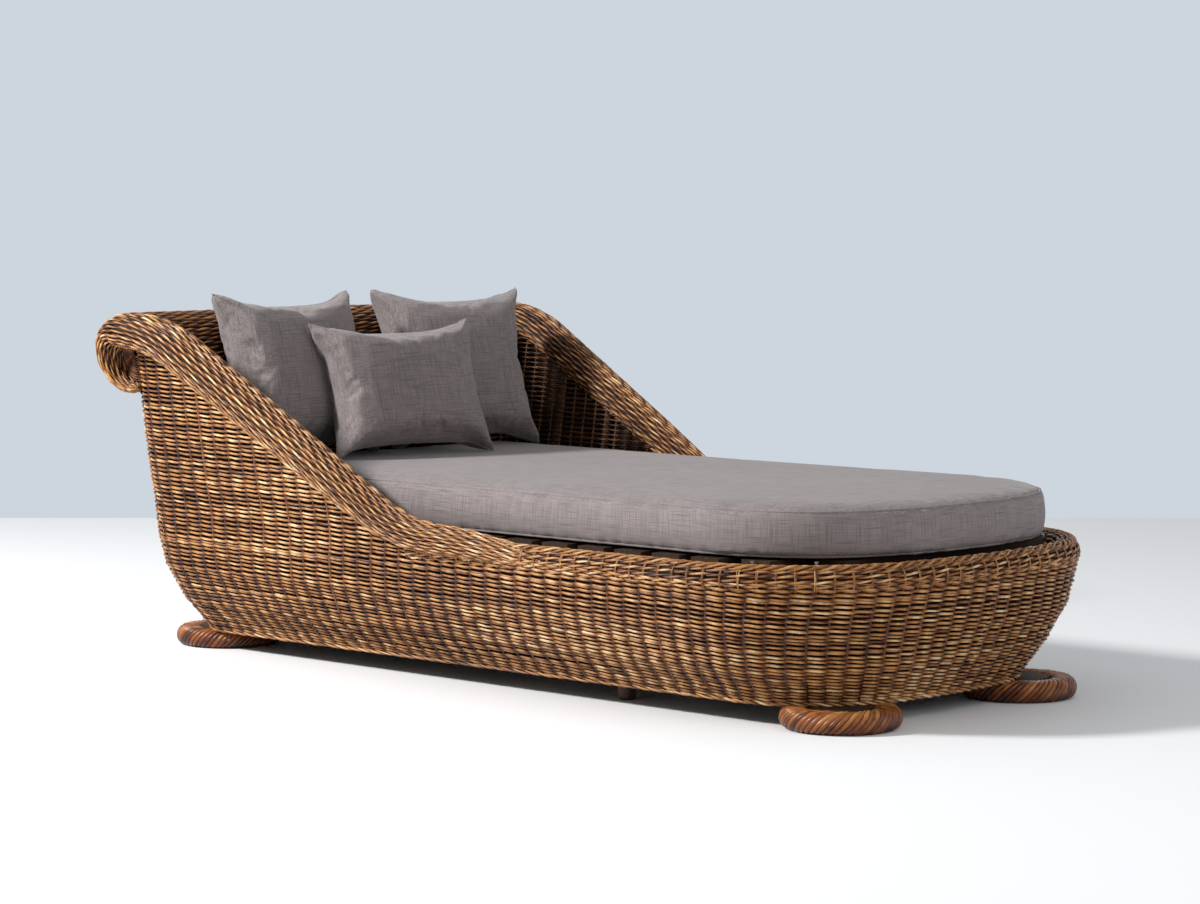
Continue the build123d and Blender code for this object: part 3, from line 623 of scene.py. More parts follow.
def wall_rows(low, high):
    """Lines of the twisted pairs between two heights."""
    lines = []
    count = stake_count * SAMPLES_PER_STAKE
    places = np.linspace(-half_round, half_round, count + 1)
    samples = np.arange(count + 1)
    knots = samples[::WANDER_RUN]
    for z in row_heights(low, high, ROW_PITCH):
        wander = np.interp(samples, knots, rng.normal(0.0, ROW_WANDER, len(knots)))
        slack = 1.0 + WALL_SLACK * rng.standard_normal(count + 1)
        phase = (places + stake_lean(places, z) + half_round) / stake_pitch
        phase += rng.normal(0.0, ROW_UNEVEN)
        points, normals = tub_points(places, z, WALL_MIDDLE)
        rise = np.clip(1.0 - (RIM_Z - z) / RIM_BLEND, 0.0, 1.0)
        beyond_arm = np.clip((points[:, 0] - arm_low_x) / RIM_BLEND, 0.0, 1.0)
        proud = RIM_PROUD * ease_in(rise) * beyond_arm
        for out, dip, shade in pair_shift(phase, WALL_OUT, WALL_DIP):
            line = points + normals * (out * slack + proud)[:, None]
            line[:, 2] += dip + wander
            line = np.c_[line, shade]
            keep = points[:, 2] < wall_top(points)
            lines += [line[a:b] for a, b in runs(keep)]
    return lines


def shown(piece, slot, *nodes):
    """Hide the nodes that a piece stands for. The slot of its finish is not used."""
    if nodes:
        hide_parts(*nodes)
    return piece


# A piece for each band of heights, because one piece of so many strands is too heavy.
# Each stands for one of the four walls, although the bands go all the way round.
wall_bands = (
    ("wall_weave_low", base_z + 4 * MM, 0.158, "outer_wall_foot"),
    ("wall_weave_middle", 0.158, 0.262, "outer_wall_left"),
    ("wall_weave_high", 0.262, 0.400, "outer_wall_right"),
    ("wall_weave_head", 0.400, 0.700, "outer_wall_head"),
)
for name, low, high, node in wall_bands:
    piece = strands(name, wall_rows(low, high), WALL_STRAND, outer_rattan)
    shown(piece, "woven_rattan", node)

# %% [markdown]
# The stakes are straight rods that the rows bend round. Little of them shows, only dark
# lines between the bulges, but without them the rows would hang in the air. Their tone is
# lowered as painted shade, for those dark lines. They follow the same tub, halfway between
# the fronts and the backs of the pairs.

# %% Stakes
STAKE_RADIUS = 2.6 * MM
STAKE_SAMPLES = 26
STAKE_TOP = 0.70
STAKE_SHADE = 0.2
WALL_FOOT = base_z + 2 * MM  # where stakes and backing start


def tub_point(place, z, inward):
    """One point on the tub."""
    return tub_points(np.array([place]), z, inward)[0][0]


stake_lines = []
for index in range(stake_count):
    place = -half_round + (index + 0.5) * stake_pitch
    heights = np.linspace(WALL_FOOT, STAKE_TOP, STAKE_SAMPLES)
    line = [tub_point(place - stake_lean(place, z), z, WALL_MIDDLE) for z in heights]
    line = np.c_[line, np.full(len(line), STAKE_SHADE)]
    keep = line[:, 2] < wall_top(line)
    stake_lines += [line[a:b] for a, b in runs(keep)]
shown(strands("wall_stakes", stake_lines, STAKE_RADIUS, inner_rattan), "woven_rattan")

# %% [markdown]
# The gaps of the real wall look dark, because an inner layer of weave lies behind them in
# shadow. A thin sheet coloured dark, as painted shade, stands for that layer. It starts as a
# flat grid whose columns are laid round the outline and whose rows run from the base up to
# whatever covers the wall.

# %% Backing of the wall
BACKING_COLUMNS = 280
BACKING_ROWS = 26
BACKING_DEPTH = 12.6 * MM
BACKING_THICKNESS = 1.2 * MM

form = bmesh.new()
bmesh.ops.create_grid(form, x_segments=BACKING_COLUMNS, y_segments=BACKING_ROWS, size=0.5)
for vert in form.verts:
    place = 2 * half_round * vert.co.x
    top = wall_top(tub_point(place, RIM_Z, 0.0)[None, :])[0]
    height = WALL_FOOT + (vert.co.y + 0.5) * (top - WALL_FOOT)
    vert.co = tub_point(place, height, BACKING_DEPTH)
bmesh.ops.remove_doubles(form, verts=form.verts, dist=0.1 * MM)
bmesh.ops.recalc_face_normals(form, faces=form.faces)
bmesh.ops.solidify(form, geom=form.faces, thickness=BACKING_THICKNESS)


def new_piece(name, form, material):
    """Turn a bmesh into a piece of the root body."""
    mesh = bpy.data.meshes.new(name)
    form.to_mesh(mesh)
    form.free()
    mesh.materials.append(material)
    piece = bpy.data.objects.new(name, mesh)
    bpy.context.scene.collection.objects.link(piece)
    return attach(piece, "root")


new_piece("wall_backing", form, weave_shadow)
print("wall_backing", BACKING_COLUMNS, "columns", BACKING_ROWS, "rows")

# %% [markdown]
# The rolls need something dark behind their strands too: a core coloured with painted
# shade. A copy of a roll's own solid, with each corner moved in along its normal, follows
# every bend without a new shape to work out.


# %% Cores of the rolls
def core(node, thinner):
    """A thinned copy of a roll's solid, in the same dark colour of painted shade."""
    form = bmesh.new()
    form.from_mesh(frame["nodes"][node].data)
    bmesh.ops.remove_doubles(form, verts=form.verts, dist=0.02 * MM)
    bmesh.ops.recalc_face_normals(form, faces=form.faces)
    form.normal_update()
    for vert, shift in [(vert, vert.normal * thinner) for vert in form.verts]:
        vert.co -= shift
    print(node + "_core", "faces", len(form.faces))
    return new_piece(node + "_core", form, weave_shadow)


# %% [markdown]
# ## Rolls: arms, curls and rim
# The arm bands, their curled ends and the rim are rolls: strands lie side by side along
# them in twisted pairs, each pair a little ahead of its neighbour, so the bright stretches
# form slanting lines. The stretches are bright partly from a painted highlight on each
# strand's crown, and on the arm bands the outward side is painted paler as well, a painted
# highlight where the light falls. One helper lays the pairs on a stack of ellipses.

# %% Roll helper
BAND_STRAND = 2.35 * MM
BAND_OUT = 2.8 * MM
BAND_ACROSS = 2.4 * MM
HALF_TURN = 0.044
PAIR_LEAD = 0.37  # how far each pair is ahead of its neighbour, in half turns
PAIR_UNEVEN = 0.12
BAND_DRIFT = 0.7 * MM
DRIFT_RUN = 6  # stations between changes of a strand's sideways drift
# Painted highlight: the arm band's outward side is painted paler, as where the light falls.
OUTER_PAINTED_LIGHT = 0.13  # how much paler the side that faces the sun is


def places_round(pairs, a, b):
    """Angles of points evenly spaced round an ellipse."""
    angles = np.linspace(0.0, 2 * np.pi, 721)
    steps = np.hypot(np.diff(a * np.cos(angles)), np.diff(b * np.sin(angles)))
    length = np.r_[0.0, np.cumsum(steps)]
    return np.interp(np.arange(pairs) * length[-1] / pairs, length, angles)


def roll_lines(stations, pairs, painted_light=0.0):
    """Twisted pairs along a roll. A station is (centre, width axis, height axis, a, b, s)."""
    centres, wides, highs = (np.array([row[i] for row in stations]) for i in range(3))
    a, b, s = (np.array([row[i] for row in stations]) for i in range(3, 6))
    lines = []
    inset = BAND_OUT + BAND_STRAND
    # A shift sideways is an angle on the ellipse. At the curl's tip the ellipse has no size,
    # and the strand's own radius takes its place, so that every point stays a number.
    turning_reach = np.maximum(np.maximum(a, b), BAND_STRAND)
    for index, around in enumerate(places_round(pairs, a.mean(), b.mean())):
        phase = s / HALF_TURN + index * PAIR_LEAD + rng.normal(0.0, PAIR_UNEVEN)
        knots = np.arange(0, len(s) + DRIFT_RUN, DRIFT_RUN)
        drift = np.interp(np.arange(len(s)), knots, rng.normal(0.0, BAND_DRIFT, len(knots)))
        for out, across, shade in pair_shift(phase, BAND_OUT, BAND_ACROSS):
            angle = around + (across + drift) / turning_reach
            reach_a = np.maximum(a - inset + out, BAND_STRAND)
            reach_b = np.maximum(b - inset + out, BAND_STRAND)
            line = (
                centres
                + wides * (reach_a * np.cos(angle))[:, None]
                + highs * (reach_b * np.sin(angle))[:, None]
            )
            lines.append(np.c_[line, shade + painted_light * math.cos(around)])
    return lines


def mirrored(lines):
    """The same lines on the other side of the lounger."""
    return [line * np.array([1.0, -1.0, 1.0, 1.0]) for line in lines]


# %% [markdown]
# The arm band is one run of strands from the rim to the tip of the curl. Its stations come
# in four stretches: the low end dives into the rim, the slope climbs and widens, the curl
# goes round the headrest roll, and the tip draws together. The left arm is a mirror image.

# %% Arm stations
STATION_STEP = 0.0125
CURL_SWEEP = math.radians(176.0)
CURL_TIP = (0.026, 0.013)
TIP_LENGTH = 0.014
RUN_OUT = 0.30  # how far the arm's strands run on into the rim
RUN_OUT_SHARES = (0.86, 0.80)  # size of the band's end as shares of the rim's section
rim_half_width = 0.030
rim_half_height = 0.031
rim_inset = 0.026
rim_y = tub_plan(RIM_Z)[0] - rim_inset
along_x = np.array([1.0, 0.0, 0.0])
straight_up = np.array([0.0, 0.0, 1.0])
plane_up = np.array([0.0, -math.sin(arm_plane_lean), math.cos(arm_plane_lean)])
plane_out = np.array([0.0, -math.cos(arm_plane_lean), -math.sin(arm_plane_lean)])


def between(first, last, share):
    """A value part of the way from the first to the last."""
    return first + share * (last - first)


def run_out_stations():
    """The arm's low end, as it thins and dives into the rim."""
    stations = []
    for distance in np.arange(RUN_OUT, 0.0, -STATION_STEP):
        ease = ease_in(distance / RUN_OUT)
        start = arm_place(arm_low_x, low_up, -1.0)
        end = np.array([arm_low_x, -rim_y, RIM_Z])
        centre = between(start, end, ease) + along_x * distance
        a = between(band_half_widths[0], RUN_OUT_SHARES[0] * rim_half_width, ease)
        b = between(band_half_heights[0], RUN_OUT_SHARES[1] * rim_half_height, ease)
        wide = plane_out * (1 - ease) + np.array([0.0, -1.0, 0.0]) * ease
        high = plane_up * (1 - ease) + straight_up * ease
        stations.append((centre, wide, high, a, b, -distance))
    return stations


def arm_stations():
    """The arm band from its low end to the crest."""
    stations = []
    for distance in np.arange(0.0, arm_length, STATION_STEP):
        share = distance / arm_length
        x, up, angle = arm_line(distance)
        a = between(*band_half_widths, share)
        b = between(*band_half_heights, min(1.0, share / band_thicken_share))
        high = along_x * math.sin(angle) + plane_up * math.cos(angle)
        stations.append((arm_place(x, up, -1.0), plane_out, high, a, b, distance))
    return stations


def curl_station(angle, reach, a, b, s):
    """A station at an angle round the headrest roll's axis."""
    axis_up = crest_up + band_half_heights[1] - roll_radius
    x = roll_x - reach * math.sin(angle)
    up = axis_up + reach * math.cos(angle)
    high = -along_x * math.sin(angle) + plane_up * math.cos(angle)
    return arm_place(x, up, -1.0), plane_out, high, a, b, s


def curl_stations():
    """The band's end, curled round the headrest roll."""
    stations = []
    mean_reach = roll_radius - band_half_heights[1] / 2
    for angle in np.arange(0.0, CURL_SWEEP, STATION_STEP / mean_reach):
        share = angle / CURL_SWEEP
        a = between(band_half_widths[1], CURL_TIP[0], share)
        b = between(band_half_heights[1], CURL_TIP[1], share)
        s = arm_length + mean_reach * angle
        stations.append(curl_station(angle, roll_radius - b, a, b, s))
    return stations


def curl_tip_stations():
    """The rounded tip of the curl, where the strands draw together."""
    stations = []
    reach = roll_radius - CURL_TIP[1]
    for part in (0.4, 0.7, 0.9, 1.0):
        angle = CURL_SWEEP + part * TIP_LENGTH / reach
        shrink = math.sqrt(1.0 - part**2)
        a, b = CURL_TIP[0] * shrink, CURL_TIP[1] * shrink
        stations.append(curl_station(angle, reach, a, b, arm_length + reach * angle))
    return stations


# %% Arm weave
ARM_PAIRS = 27
ROLL_CORE_DEPTH = 8.5 * MM
CURL_CORE_DEPTH = 8.0 * MM

arm_path = run_out_stations() + arm_stations() + curl_stations() + curl_tip_stations()
arm_lines = roll_lines(arm_path, ARM_PAIRS, painted_light=OUTER_PAINTED_LIGHT)
for side, lines in (("right", arm_lines), ("left", mirrored(arm_lines))):
    piece = strands("arm_weave_" + side, lines, BAND_STRAND, outer_rattan)
    shown(piece, "woven_rattan", "arm_roll_" + side, "arm_curl_" + side)
    core("arm_roll_" + side, ROLL_CORE_DEPTH)
    core("arm_curl_" + side, CURL_CORE_DEPTH)

# %% [markdown]
# The headrest is the same weave on a straight roll. Its strands stop where the curls' plane
# cuts the roll, a little inside it, so that no end pokes out. A plain cylinder, dark with
# painted shade, fills the roll, because its solid is open inside.

# %% Headrest roll
ROLL_PAIRS = 50
ROLL_BACKING = 9.5 * MM
ROLL_BACKING_INSET = 34 * MM
ROLL_BACKING_SIDES = 48
ROLL_END_INSET = 14 * MM

roll_reach = roll_high.y - 4 * MM
roll_stations = [
    (np.array([roll_x, y, roll_z]), along_x, straight_up, roll_radius, roll_radius, y)
    for y in np.arange(-roll_reach, roll_reach, STATION_STEP)
]
roll_weave = []
for line in roll_lines(roll_stations, ROLL_PAIRS):
    ends = arm_foot_y + (line[:, 2] - RIM_Z) * math.tan(arm_plane_lean) - ROLL_END_INSET
    roll_weave += [line[a:b] for a, b in runs(np.abs(line[:, 1]) < ends)]
piece = strands("headrest_weave", roll_weave, BAND_STRAND, outer_rattan)
shown(piece, "woven_rattan", "headrest_roll")
form = bmesh.new()
bmesh.ops.create_cone(
    form,
    cap_ends=True,
    segments=ROLL_BACKING_SIDES,
    radius1=roll_radius - ROLL_BACKING,
    radius2=roll_radius - ROLL_BACKING,
    depth=2 * (roll_reach - ROLL_BACKING_INSET),
    matrix=Matrix.Translation((roll_x, 0.0, roll_z)) @ Matrix.Rotation(math.pi / 2, 4, "X"),
)
new_piece("headrest_backing", form, weave_shadow)

# %% [markdown]
# The rim is a thinner roll that runs round the foot end from arm to arm. Its stations
# follow the tub's outline at the rim's height, and both ends are tucked under the arms.

# %% Rim roll
RIM_PAIRS = 17
RIM_TUCK = 0.09  # how far the rim runs on under the arm


def rim_stations():
    """The rim from the right-hand arm round the foot end to the left-hand arm."""
    stations = []
    along_side = half_round - rim_lengths[:2].sum() - (arm_low_x - head_x - head_corner)
    along_side += RIM_TUCK
    for place in np.arange(-along_side, along_side, STATION_STEP):
        from_head = half_round - abs(place)
        signed = -from_head if place < 0 else from_head
        points, normals = tub_points(np.array([signed]), RIM_Z, rim_inset)
        stations.append(
            (points[0], normals[0], straight_up, rim_half_width, rim_half_height, place)
        )
    return stations


rim_places = rim_stations()
piece = strands("rim_weave", roll_lines(rim_places, RIM_PAIRS), BAND_STRAND, outer_rattan)
shown(piece, "woven_rattan", "rim_roll_right", "rim_roll_left", "rim_roll_foot")
for part in ("right", "left", "foot"):
    core("rim_roll_" + part, ROLL_CORE_DEPTH)

# %% [markdown]
# Short ties bind the rim's strands to the stakes. They are thin, two side by side, and lie
# half sunk among the strands. Each goes most of the way round the rim's section.

# %% Rim ties
TIE_STRAND = 1.05 * MM
TIE_SUNK = 1.8 * MM
TIE_SLIP = 1.2 * MM
TIE_APART = 1.1 * TIE_STRAND
TIE_REACH = 0.62 * np.pi
TIE_SAMPLES = 15
TIE_SHADE = 0.65

tie_step = round(STAKE_PITCH / STATION_STEP)
tie_lines = []
for centre, wide, high, a, b, s in rim_places[::tie_step]:
    tangent = np.cross(high, wide)
    for shift in (-TIE_APART, TIE_APART):
        slip = rng.normal(0.0, TIE_SLIP)
        line = [
            centre
            + wide * ((a - TIE_SUNK) * math.cos(turn))
            + high * ((b - TIE_SUNK) * math.sin(turn))
            + tangent * (shift + slip * math.sin(turn))
            for turn in np.linspace(-TIE_REACH, TIE_REACH, TIE_SAMPLES)
        ]
        tie_lines.append(np.c_[line, np.full(len(line), TIE_SHADE)])
shown(strands("rim_ties", tie_lines, TIE_STRAND, outer_rattan), "woven_rattan")

# %% [markdown]
# The top of the rim is finished with a braid of three strands, which gives the rim its
# uneven edge against the dark gap under the mattress.

# %% Rim braid
BRAID_STRAND = 2.7 * MM
BRAID_SWINGS = (7.36 * MM, 3.22 * MM)  # across the braid, and out of it
BRAID_PITCH = 0.088
BRAID_ANGLE = math.radians(62.0)  # where it sits on the rim's section, from the outside up

braid_lines = []
for index in range(3):
    line = []
    for centre, wide, high, a, b, s in rim_places:
        turn = 2 * np.pi * (s / BRAID_PITCH + index / 3)
        out = wide * math.cos(BRAID_ANGLE) + high * math.sin(BRAID_ANGLE)
        across = high * math.cos(BRAID_ANGLE) - wide * math.sin(BRAID_ANGLE)
        seat = wide * a * math.cos(BRAID_ANGLE) + high * b * math.sin(BRAID_ANGLE)
        swing = across * (BRAID_SWINGS[0] * math.sin(turn))
        swing += out * (BRAID_SWINGS[1] * math.cos(turn))
        point = centre + seat - out * BRAID_STRAND + swing
        # Painted highlight where a strand is outermost in the braid, painted shade where it goes
        # under.
        line.append([*point, 0.6 + 0.4 * math.cos(turn)])
    braid_lines.append(np.array(line))
shown(strands("rim_braid", braid_lines, BRAID_STRAND, outer_rattan), "woven_rattan")

# %% [markdown]
# The wall ends at the base in a border: three strands twisted like a rope, which hold the
# last row. The rope closes on itself all the way round the tub.

# %% Base border
BORDER_STRAND = 2.6 * MM
BORDER_TWIST = 3.6 * MM
BORDER_PITCH = 2.4 * STAKE_PITCH
BORDER_LIFT = 4 * MM
BORDER_INSET = 3 * MM

border_lines = []
places = np.linspace(-half_round, half_round, 4 * stake_count, endpoint=False)
for index in range(3):
    turn = 2 * np.pi * (places / BORDER_PITCH + index / 3)
    points, normals = tub_points(places, base_z + BORDER_LIFT, BORDER_INSET)
    line = points + normals * (BORDER_TWIST * np.cos(turn))[:, None]
    line[:, 2] += BORDER_TWIST * np.sin(turn)
    # Painted highlight where a strand of the rope is outermost, painted shade where it turns in.
    border_lines.append(np.c_[line, 0.5 + 0.5 * np.cos(turn)])
piece = strands("base_border", border_lines, BORDER_STRAND, outer_rattan, closed=True)
shown(piece, "woven_rattan")

# %% [markdown]
# ## Inner panels
# Inside, the arms and the back are an open weave of the same kind, in browner rattan. The
# arm panels fill the triangle between the deck and the arm band, and the back panel leans
# between them. A panel is a flat version of the wall: one function lays the rows and the
# stakes, and two small ones say where a point of the panel lies and where the panel ends.

# %% Inner panels
PANEL_INSET = 0.036
PANEL_ROW = 0.0115
PANEL_STAKE = 0.036
PANEL_STRAND = 2.1 * MM
PANEL_OUT = 2.6 * MM
PANEL_DIP = 1.2 * MM
PANEL_UNEVEN = 0.03
PANEL_SAMPLES = 24
PANEL_UNDER_ARM = 12 * MM
PANEL_SHADE = 0.3
BACK_SKIN = 4 * MM  # depth of the back panel's middle line
BACK_UNDER_ROLL = 20 * MM


def panel_lines(low_z, high_z, start, end, place, cut):
    """Rows and stakes of a flat panel. Place gives a point, cut says where a line shows."""
    lines = []
    along = np.arange(start, end, PANEL_STAKE / SAMPLES_PER_STAKE)
    for z in np.arange(low_z, high_z, PANEL_ROW):
        phase = along / PANEL_STAKE + rng.normal(0.0, PANEL_UNEVEN)
        for out, dip, shade in pair_shift(phase, PANEL_OUT, PANEL_DIP):
            line = np.array([place(u, z + d, o) for u, d, o in zip(along, dip, out)])
            line = np.c_[line, shade]
            lines += [line[a:b] for a, b in runs(cut(along, np.full_like(along, z)))]
    heights = np.linspace(low_z, high_z, PANEL_SAMPLES)
    for u in np.arange(start + PANEL_STAKE / 2, end, PANEL_STAKE):
        line = np.array([place(u, z, 0.0) for z in heights])
        # Painted shade on the panel's stakes.
        line = np.c_[line, np.full(len(line), PANEL_SHADE)]
        lines += [line[a:b] for a, b in runs(cut(np.full_like(heights, u), heights))]
    return lines


def arm_panel_place(x, z, out):
    """A point of the right-hand arm's panel."""
    up = (z - RIM_Z) / math.cos(arm_plane_lean)
    return arm_place(x, up, -1.0) - plane_out * (PANEL_INSET - out)


def arm_panel_cut(x, z):
    """Where the arm's panel lies under the arm band."""
    return z < arm_height(x) - PANEL_UNDER_ARM


def back_panel_place(y, z, out):
    """A point of the leaning back panel."""
    share = (z - back_low.z) / (back_high.z - back_low.z)
    return np.array([between(back_high.x - BACK_SKIN, back_low.x + BACK_SKIN, share) + out, y, z])


def back_panel_cut(y, z):
    """Where the back panel lies between the arms' panels."""
    half = arm_foot_y + (z - RIM_Z) * math.tan(arm_plane_lean) - PANEL_INSET
    return np.abs(y) < half


panel_low, panel_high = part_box("arm_panel_right")
arm_panel_range = (panel_low.z, panel_high.z, panel_low.x, panel_high.x)
lines = panel_lines(*arm_panel_range, arm_panel_place, arm_panel_cut)
for side, flip in (("right", list), ("left", mirrored)):
    piece = strands("arm_panel_weave_" + side, flip(lines), PANEL_STRAND, inner_rattan)
    shown(piece, "woven_rattan", "arm_panel_" + side)
back_low, back_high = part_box("back_panel")
back_range = (back_low.z, back_high.z + BACK_UNDER_ROLL, back_low.y, back_high.y)
lines = panel_lines(*back_range, back_panel_place, back_panel_cut)
piece = strands("back_panel_weave", lines, PANEL_STRAND, inner_rattan)
shown(piece, "woven_rattan", "back_panel")

# %% [markdown]
# The open end of the headrest's scroll is filled by a coil: one long strand wound from the
# middle outwards in the plane of the arm, like the mat of a basket's lid.

# %% Headrest ends
END_STRAND = 2.6 * MM
COIL_TURNS = 13
COIL_SAMPLES = 26  # for each turn
COIL_REACHES = (6 * MM, 78 * MM)
COIL_INSET = 0.012
COIL_SHADES = 9  # bright places in each turn

angles = np.linspace(0.0, 2 * np.pi * COIL_TURNS, COIL_SAMPLES * COIL_TURNS)
reach = between(*COIL_REACHES, angles / angles[-1])
roll_up = (roll_z - RIM_Z) / math.cos(arm_plane_lean)
coil = [
    arm_place(roll_x + r * math.cos(t), roll_up + r * math.sin(t), -1.0)
    for r, t in zip(reach, angles)
]
# Painted highlights along the coil, COIL_SHADES in each turn, with painted shade between them.
coil = np.c_[coil - plane_out * COIL_INSET, 0.5 + 0.4 * np.sin(COIL_SHADES * angles)]
for side, lines in (("right", [coil]), ("left", mirrored([coil]))):
    piece = strands("headrest_end_coil_" + side, lines, END_STRAND, inner_rattan)
    shown(piece, "woven_rattan", "headrest_end_" + side)

# %% [markdown]
# ## Feet
# Each foot is a thick ring of cane, laid like a rope: the strands run round the ring and
# turn about its section as they go. Where the ring stands on the floor its strands are
# pressed flat.

# %% Feet
FOOT_STRAND = 5.4 * MM
FOOT_STRANDS = 11
FOOT_TURNS = 5
FOOT_SAMPLES = 96
FOOT_SECTION = (0.029, 0.027)
FOOT_PRESS = (1.2, 0.6)  # how near the strands come to the floor and the top, in radii
FOOT_CORE_DEPTH = 5.0 * MM

for end_name in ("foot_end", "head_end"):
    for side in ("right", "left"):
        node = f"ring_foot_{end_name}_{side}"
        low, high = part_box(node)
        centre = (low + high) / 2
        ring = (high.x - low.x) / 2 - FOOT_SECTION[0]
        around = np.linspace(0.0, 2 * np.pi, FOOT_SAMPLES, endpoint=False)
        z_range = (low.z + FOOT_STRAND * FOOT_PRESS[0], high.z - FOOT_STRAND * FOOT_PRESS[1])
        lines = []
        for index in range(FOOT_STRANDS):
            section = FOOT_TURNS * around + 2 * np.pi * index / FOOT_STRANDS
            r = ring + (FOOT_SECTION[0] - FOOT_STRAND) * np.cos(section)
            x, y = centre.x + r * np.cos(around), centre.y + r * np.sin(around)
            z = centre.z + (FOOT_SECTION[1] - FOOT_STRAND) * np.sin(section)
            # Painted highlight where a strand lies on top of the ring, painted shade underneath.
            lines.append(np.c_[x, y, np.clip(z, *z_range), 0.55 + 0.45 * np.sin(section)])
        name = "foot_weave_" + end_name + "_" + side
        piece = strands(name, lines, FOOT_STRAND, foot_rattan, uneven=0.04, closed=True)
        shown(piece, "wound_cane", node)
        core(node, FOOT_CORE_DEPTH)

# %% [markdown]
# ## Poles, slats and fittings
# The inner frame keeps its own solids, which already have the right shape. Each takes the
# finish that its slot in the record names.

# %% Finishes of the frame
finishes = {
    "rattan_pole": pole_wood,
    "slat_wood": slat_wood,
    "dark_wood": dark_wood,
    "glide": glide_plastic,
    "steel": zinc,
    "woven_rattan": inner_rattan,
    "wound_cane": foot_rattan,
}
slots = {part["node"]: part["material_slot"] for part in frame["record"]["subparts"]}
finished = 0
for node, piece in frame["nodes"].items():
    if slots[node] in finishes:
        piece.data.materials.clear()
        piece.data.materials.append(finishes[slots[node]])
        finished += 1
print("nodes with a finish", finished, "of", len(slots))

# %% [markdown]
# ## Linen
# The covers are a plain linen weave in taupe grey. Warp and weft are two noises, each
# stretched along its own direction, which gives the uneven slubs of real linen. They drive
# the colour a little and the relief a little more. The threads of real cloth follow the
# cloth, so the pillows and the mattress's band read an attribute called `cloth`, which holds
# each vertex's place in its panel. The mattress's flat panels can use Object coordinates.

# %% Linen material
THREADS = 560.0  # threads for each metre
SLUB = 0.03  # the noise's scale along a thread, as a share of that across it
THROUGH = 0.3  # and its share through the cushion
FLAT_ABOVE = 0.55  # upright part of the normal from which a face belongs to a flat panel
LINEN_TONES = ((0.28, (0.145, 0.122, 0.118)), (0.56, (0.262, 0.222, 0.217)))
WORN_SCALE = 6.0
WORN_TONES = ((0.3, (0.88, 0.88, 0.88)), (0.7, (1.0, 1.0, 1.0)))
WORN_DEPTH = 0.7
LINEN_RELIEF = 0.5 * MM


def crossed_slubs(tree, follows):
    """The darker of two sets of slubs that cross at right angles."""
    return maths(
        tree,
        "MINIMUM",
        noise(tree, THREADS, 1.0, (SLUB, 1.0, THROUGH), follows),
        noise(tree, THREADS, 1.0, (1.0, SLUB, THROUGH), follows),
    )


def linen_material(name, threads_of):
    """Plain linen: crossed slubs in colour and relief, with a soft sheen."""
    material, tree, shader = new_material(name, 0.92)
    shader.inputs["Sheen Weight"].default_value = 0.2
    shader.inputs["Sheen Roughness"].default_value = 0.5
    shader.inputs["Specular IOR Level"].default_value = 0.2
    threads = threads_of(tree)
    worn = ramp(tree, noise(tree, WORN_SCALE), WORN_TONES)
    colour = multiply_colour(tree, ramp(tree, threads, LINEN_TONES), worn, WORN_DEPTH)
    tree.links.new(colour, shader.inputs["Base Color"])
    bump(tree, shader, threads, 0.4, LINEN_RELIEF)
    return material


def boxed_threads(tree):
    """Threads along and across on the panels, and round and up on the band."""
    facing = tree.nodes.new("ShaderNodeSeparateXYZ")
    normal = tree.nodes.new("ShaderNodeNewGeometry").outputs["Normal"]
    tree.links.new(normal, facing.inputs["Vector"])
    upright = maths(tree, "ABSOLUTE", facing.outputs["Z"], 0.0)
    mix = tree.nodes.new("ShaderNodeMix")
    tree.links.new(maths(tree, "GREATER_THAN", upright, FLAT_ABOVE), mix.inputs["Factor"])
    tree.links.new(crossed_slubs(tree, "cloth"), mix.inputs["A"])
    tree.links.new(crossed_slubs(tree, None), mix.inputs["B"])
    return mix.outputs["Result"]


mattress_linen = linen_material("mattress_linen", boxed_threads)
pillow_linen = linen_material("pillow_linen", lambda tree: crossed_slubs(tree, "cloth"))
piping_linen = linen_material("piping_linen", lambda tree: noise(tree, THREADS, 1.0))
print("linens", mattress_linen.name, pillow_linen.name, piping_linen.name)


def keep_cloth_places(piece, rows):
    """Keep each vertex's place in the cloth, for the threads to follow."""
    kept = piece.data.attributes.new("cloth", "FLOAT_VECTOR", "POINT")
    kept.data.foreach_set("vector", rows.astype(np.float32).ravel())


# %% [markdown]
# ## Cushions
# A cushion starts as a copy of its solid. Voxel remeshing gives it an even skin, which is
# drawn in a little, because the filling will swell it. A cloth simulation with pressure
# from inside rounds it and wrinkles it, and a cap on how far a point may move keeps it in
# its space. One level of subdivision smooths the result.

# %% Cushion helpers
def settle(piece):
    """Apply a piece's modifiers."""
    graph = bpy.context.evaluated_depsgraph_get()
    mesh = bpy.data.meshes.new_from_object(piece.evaluated_get(graph))
    piece.modifiers.clear()
    old = piece.data
    mesh.name = piece.name
    piece.data = mesh
    bpy.data.meshes.remove(old)
    return piece


def corners(mesh):
    """Vertex places as an array."""
    places = np.empty(3 * len(mesh.vertices), np.float32)
    mesh.vertices.foreach_get("co", places)
    return places.reshape(-1, 3).astype(float)


def corner_normals(mesh):
    """Vertex normals as an array."""
    normals = np.empty(3 * len(mesh.vertices), np.float32)
    mesh.vertices.foreach_get("normal", normals)
    return normals.reshape(-1, 3)


def put_corners(mesh, places):
    """Set vertex places from an array."""
    mesh.vertices.foreach_set("co", places.astype(np.float32).ravel())
    mesh.update()


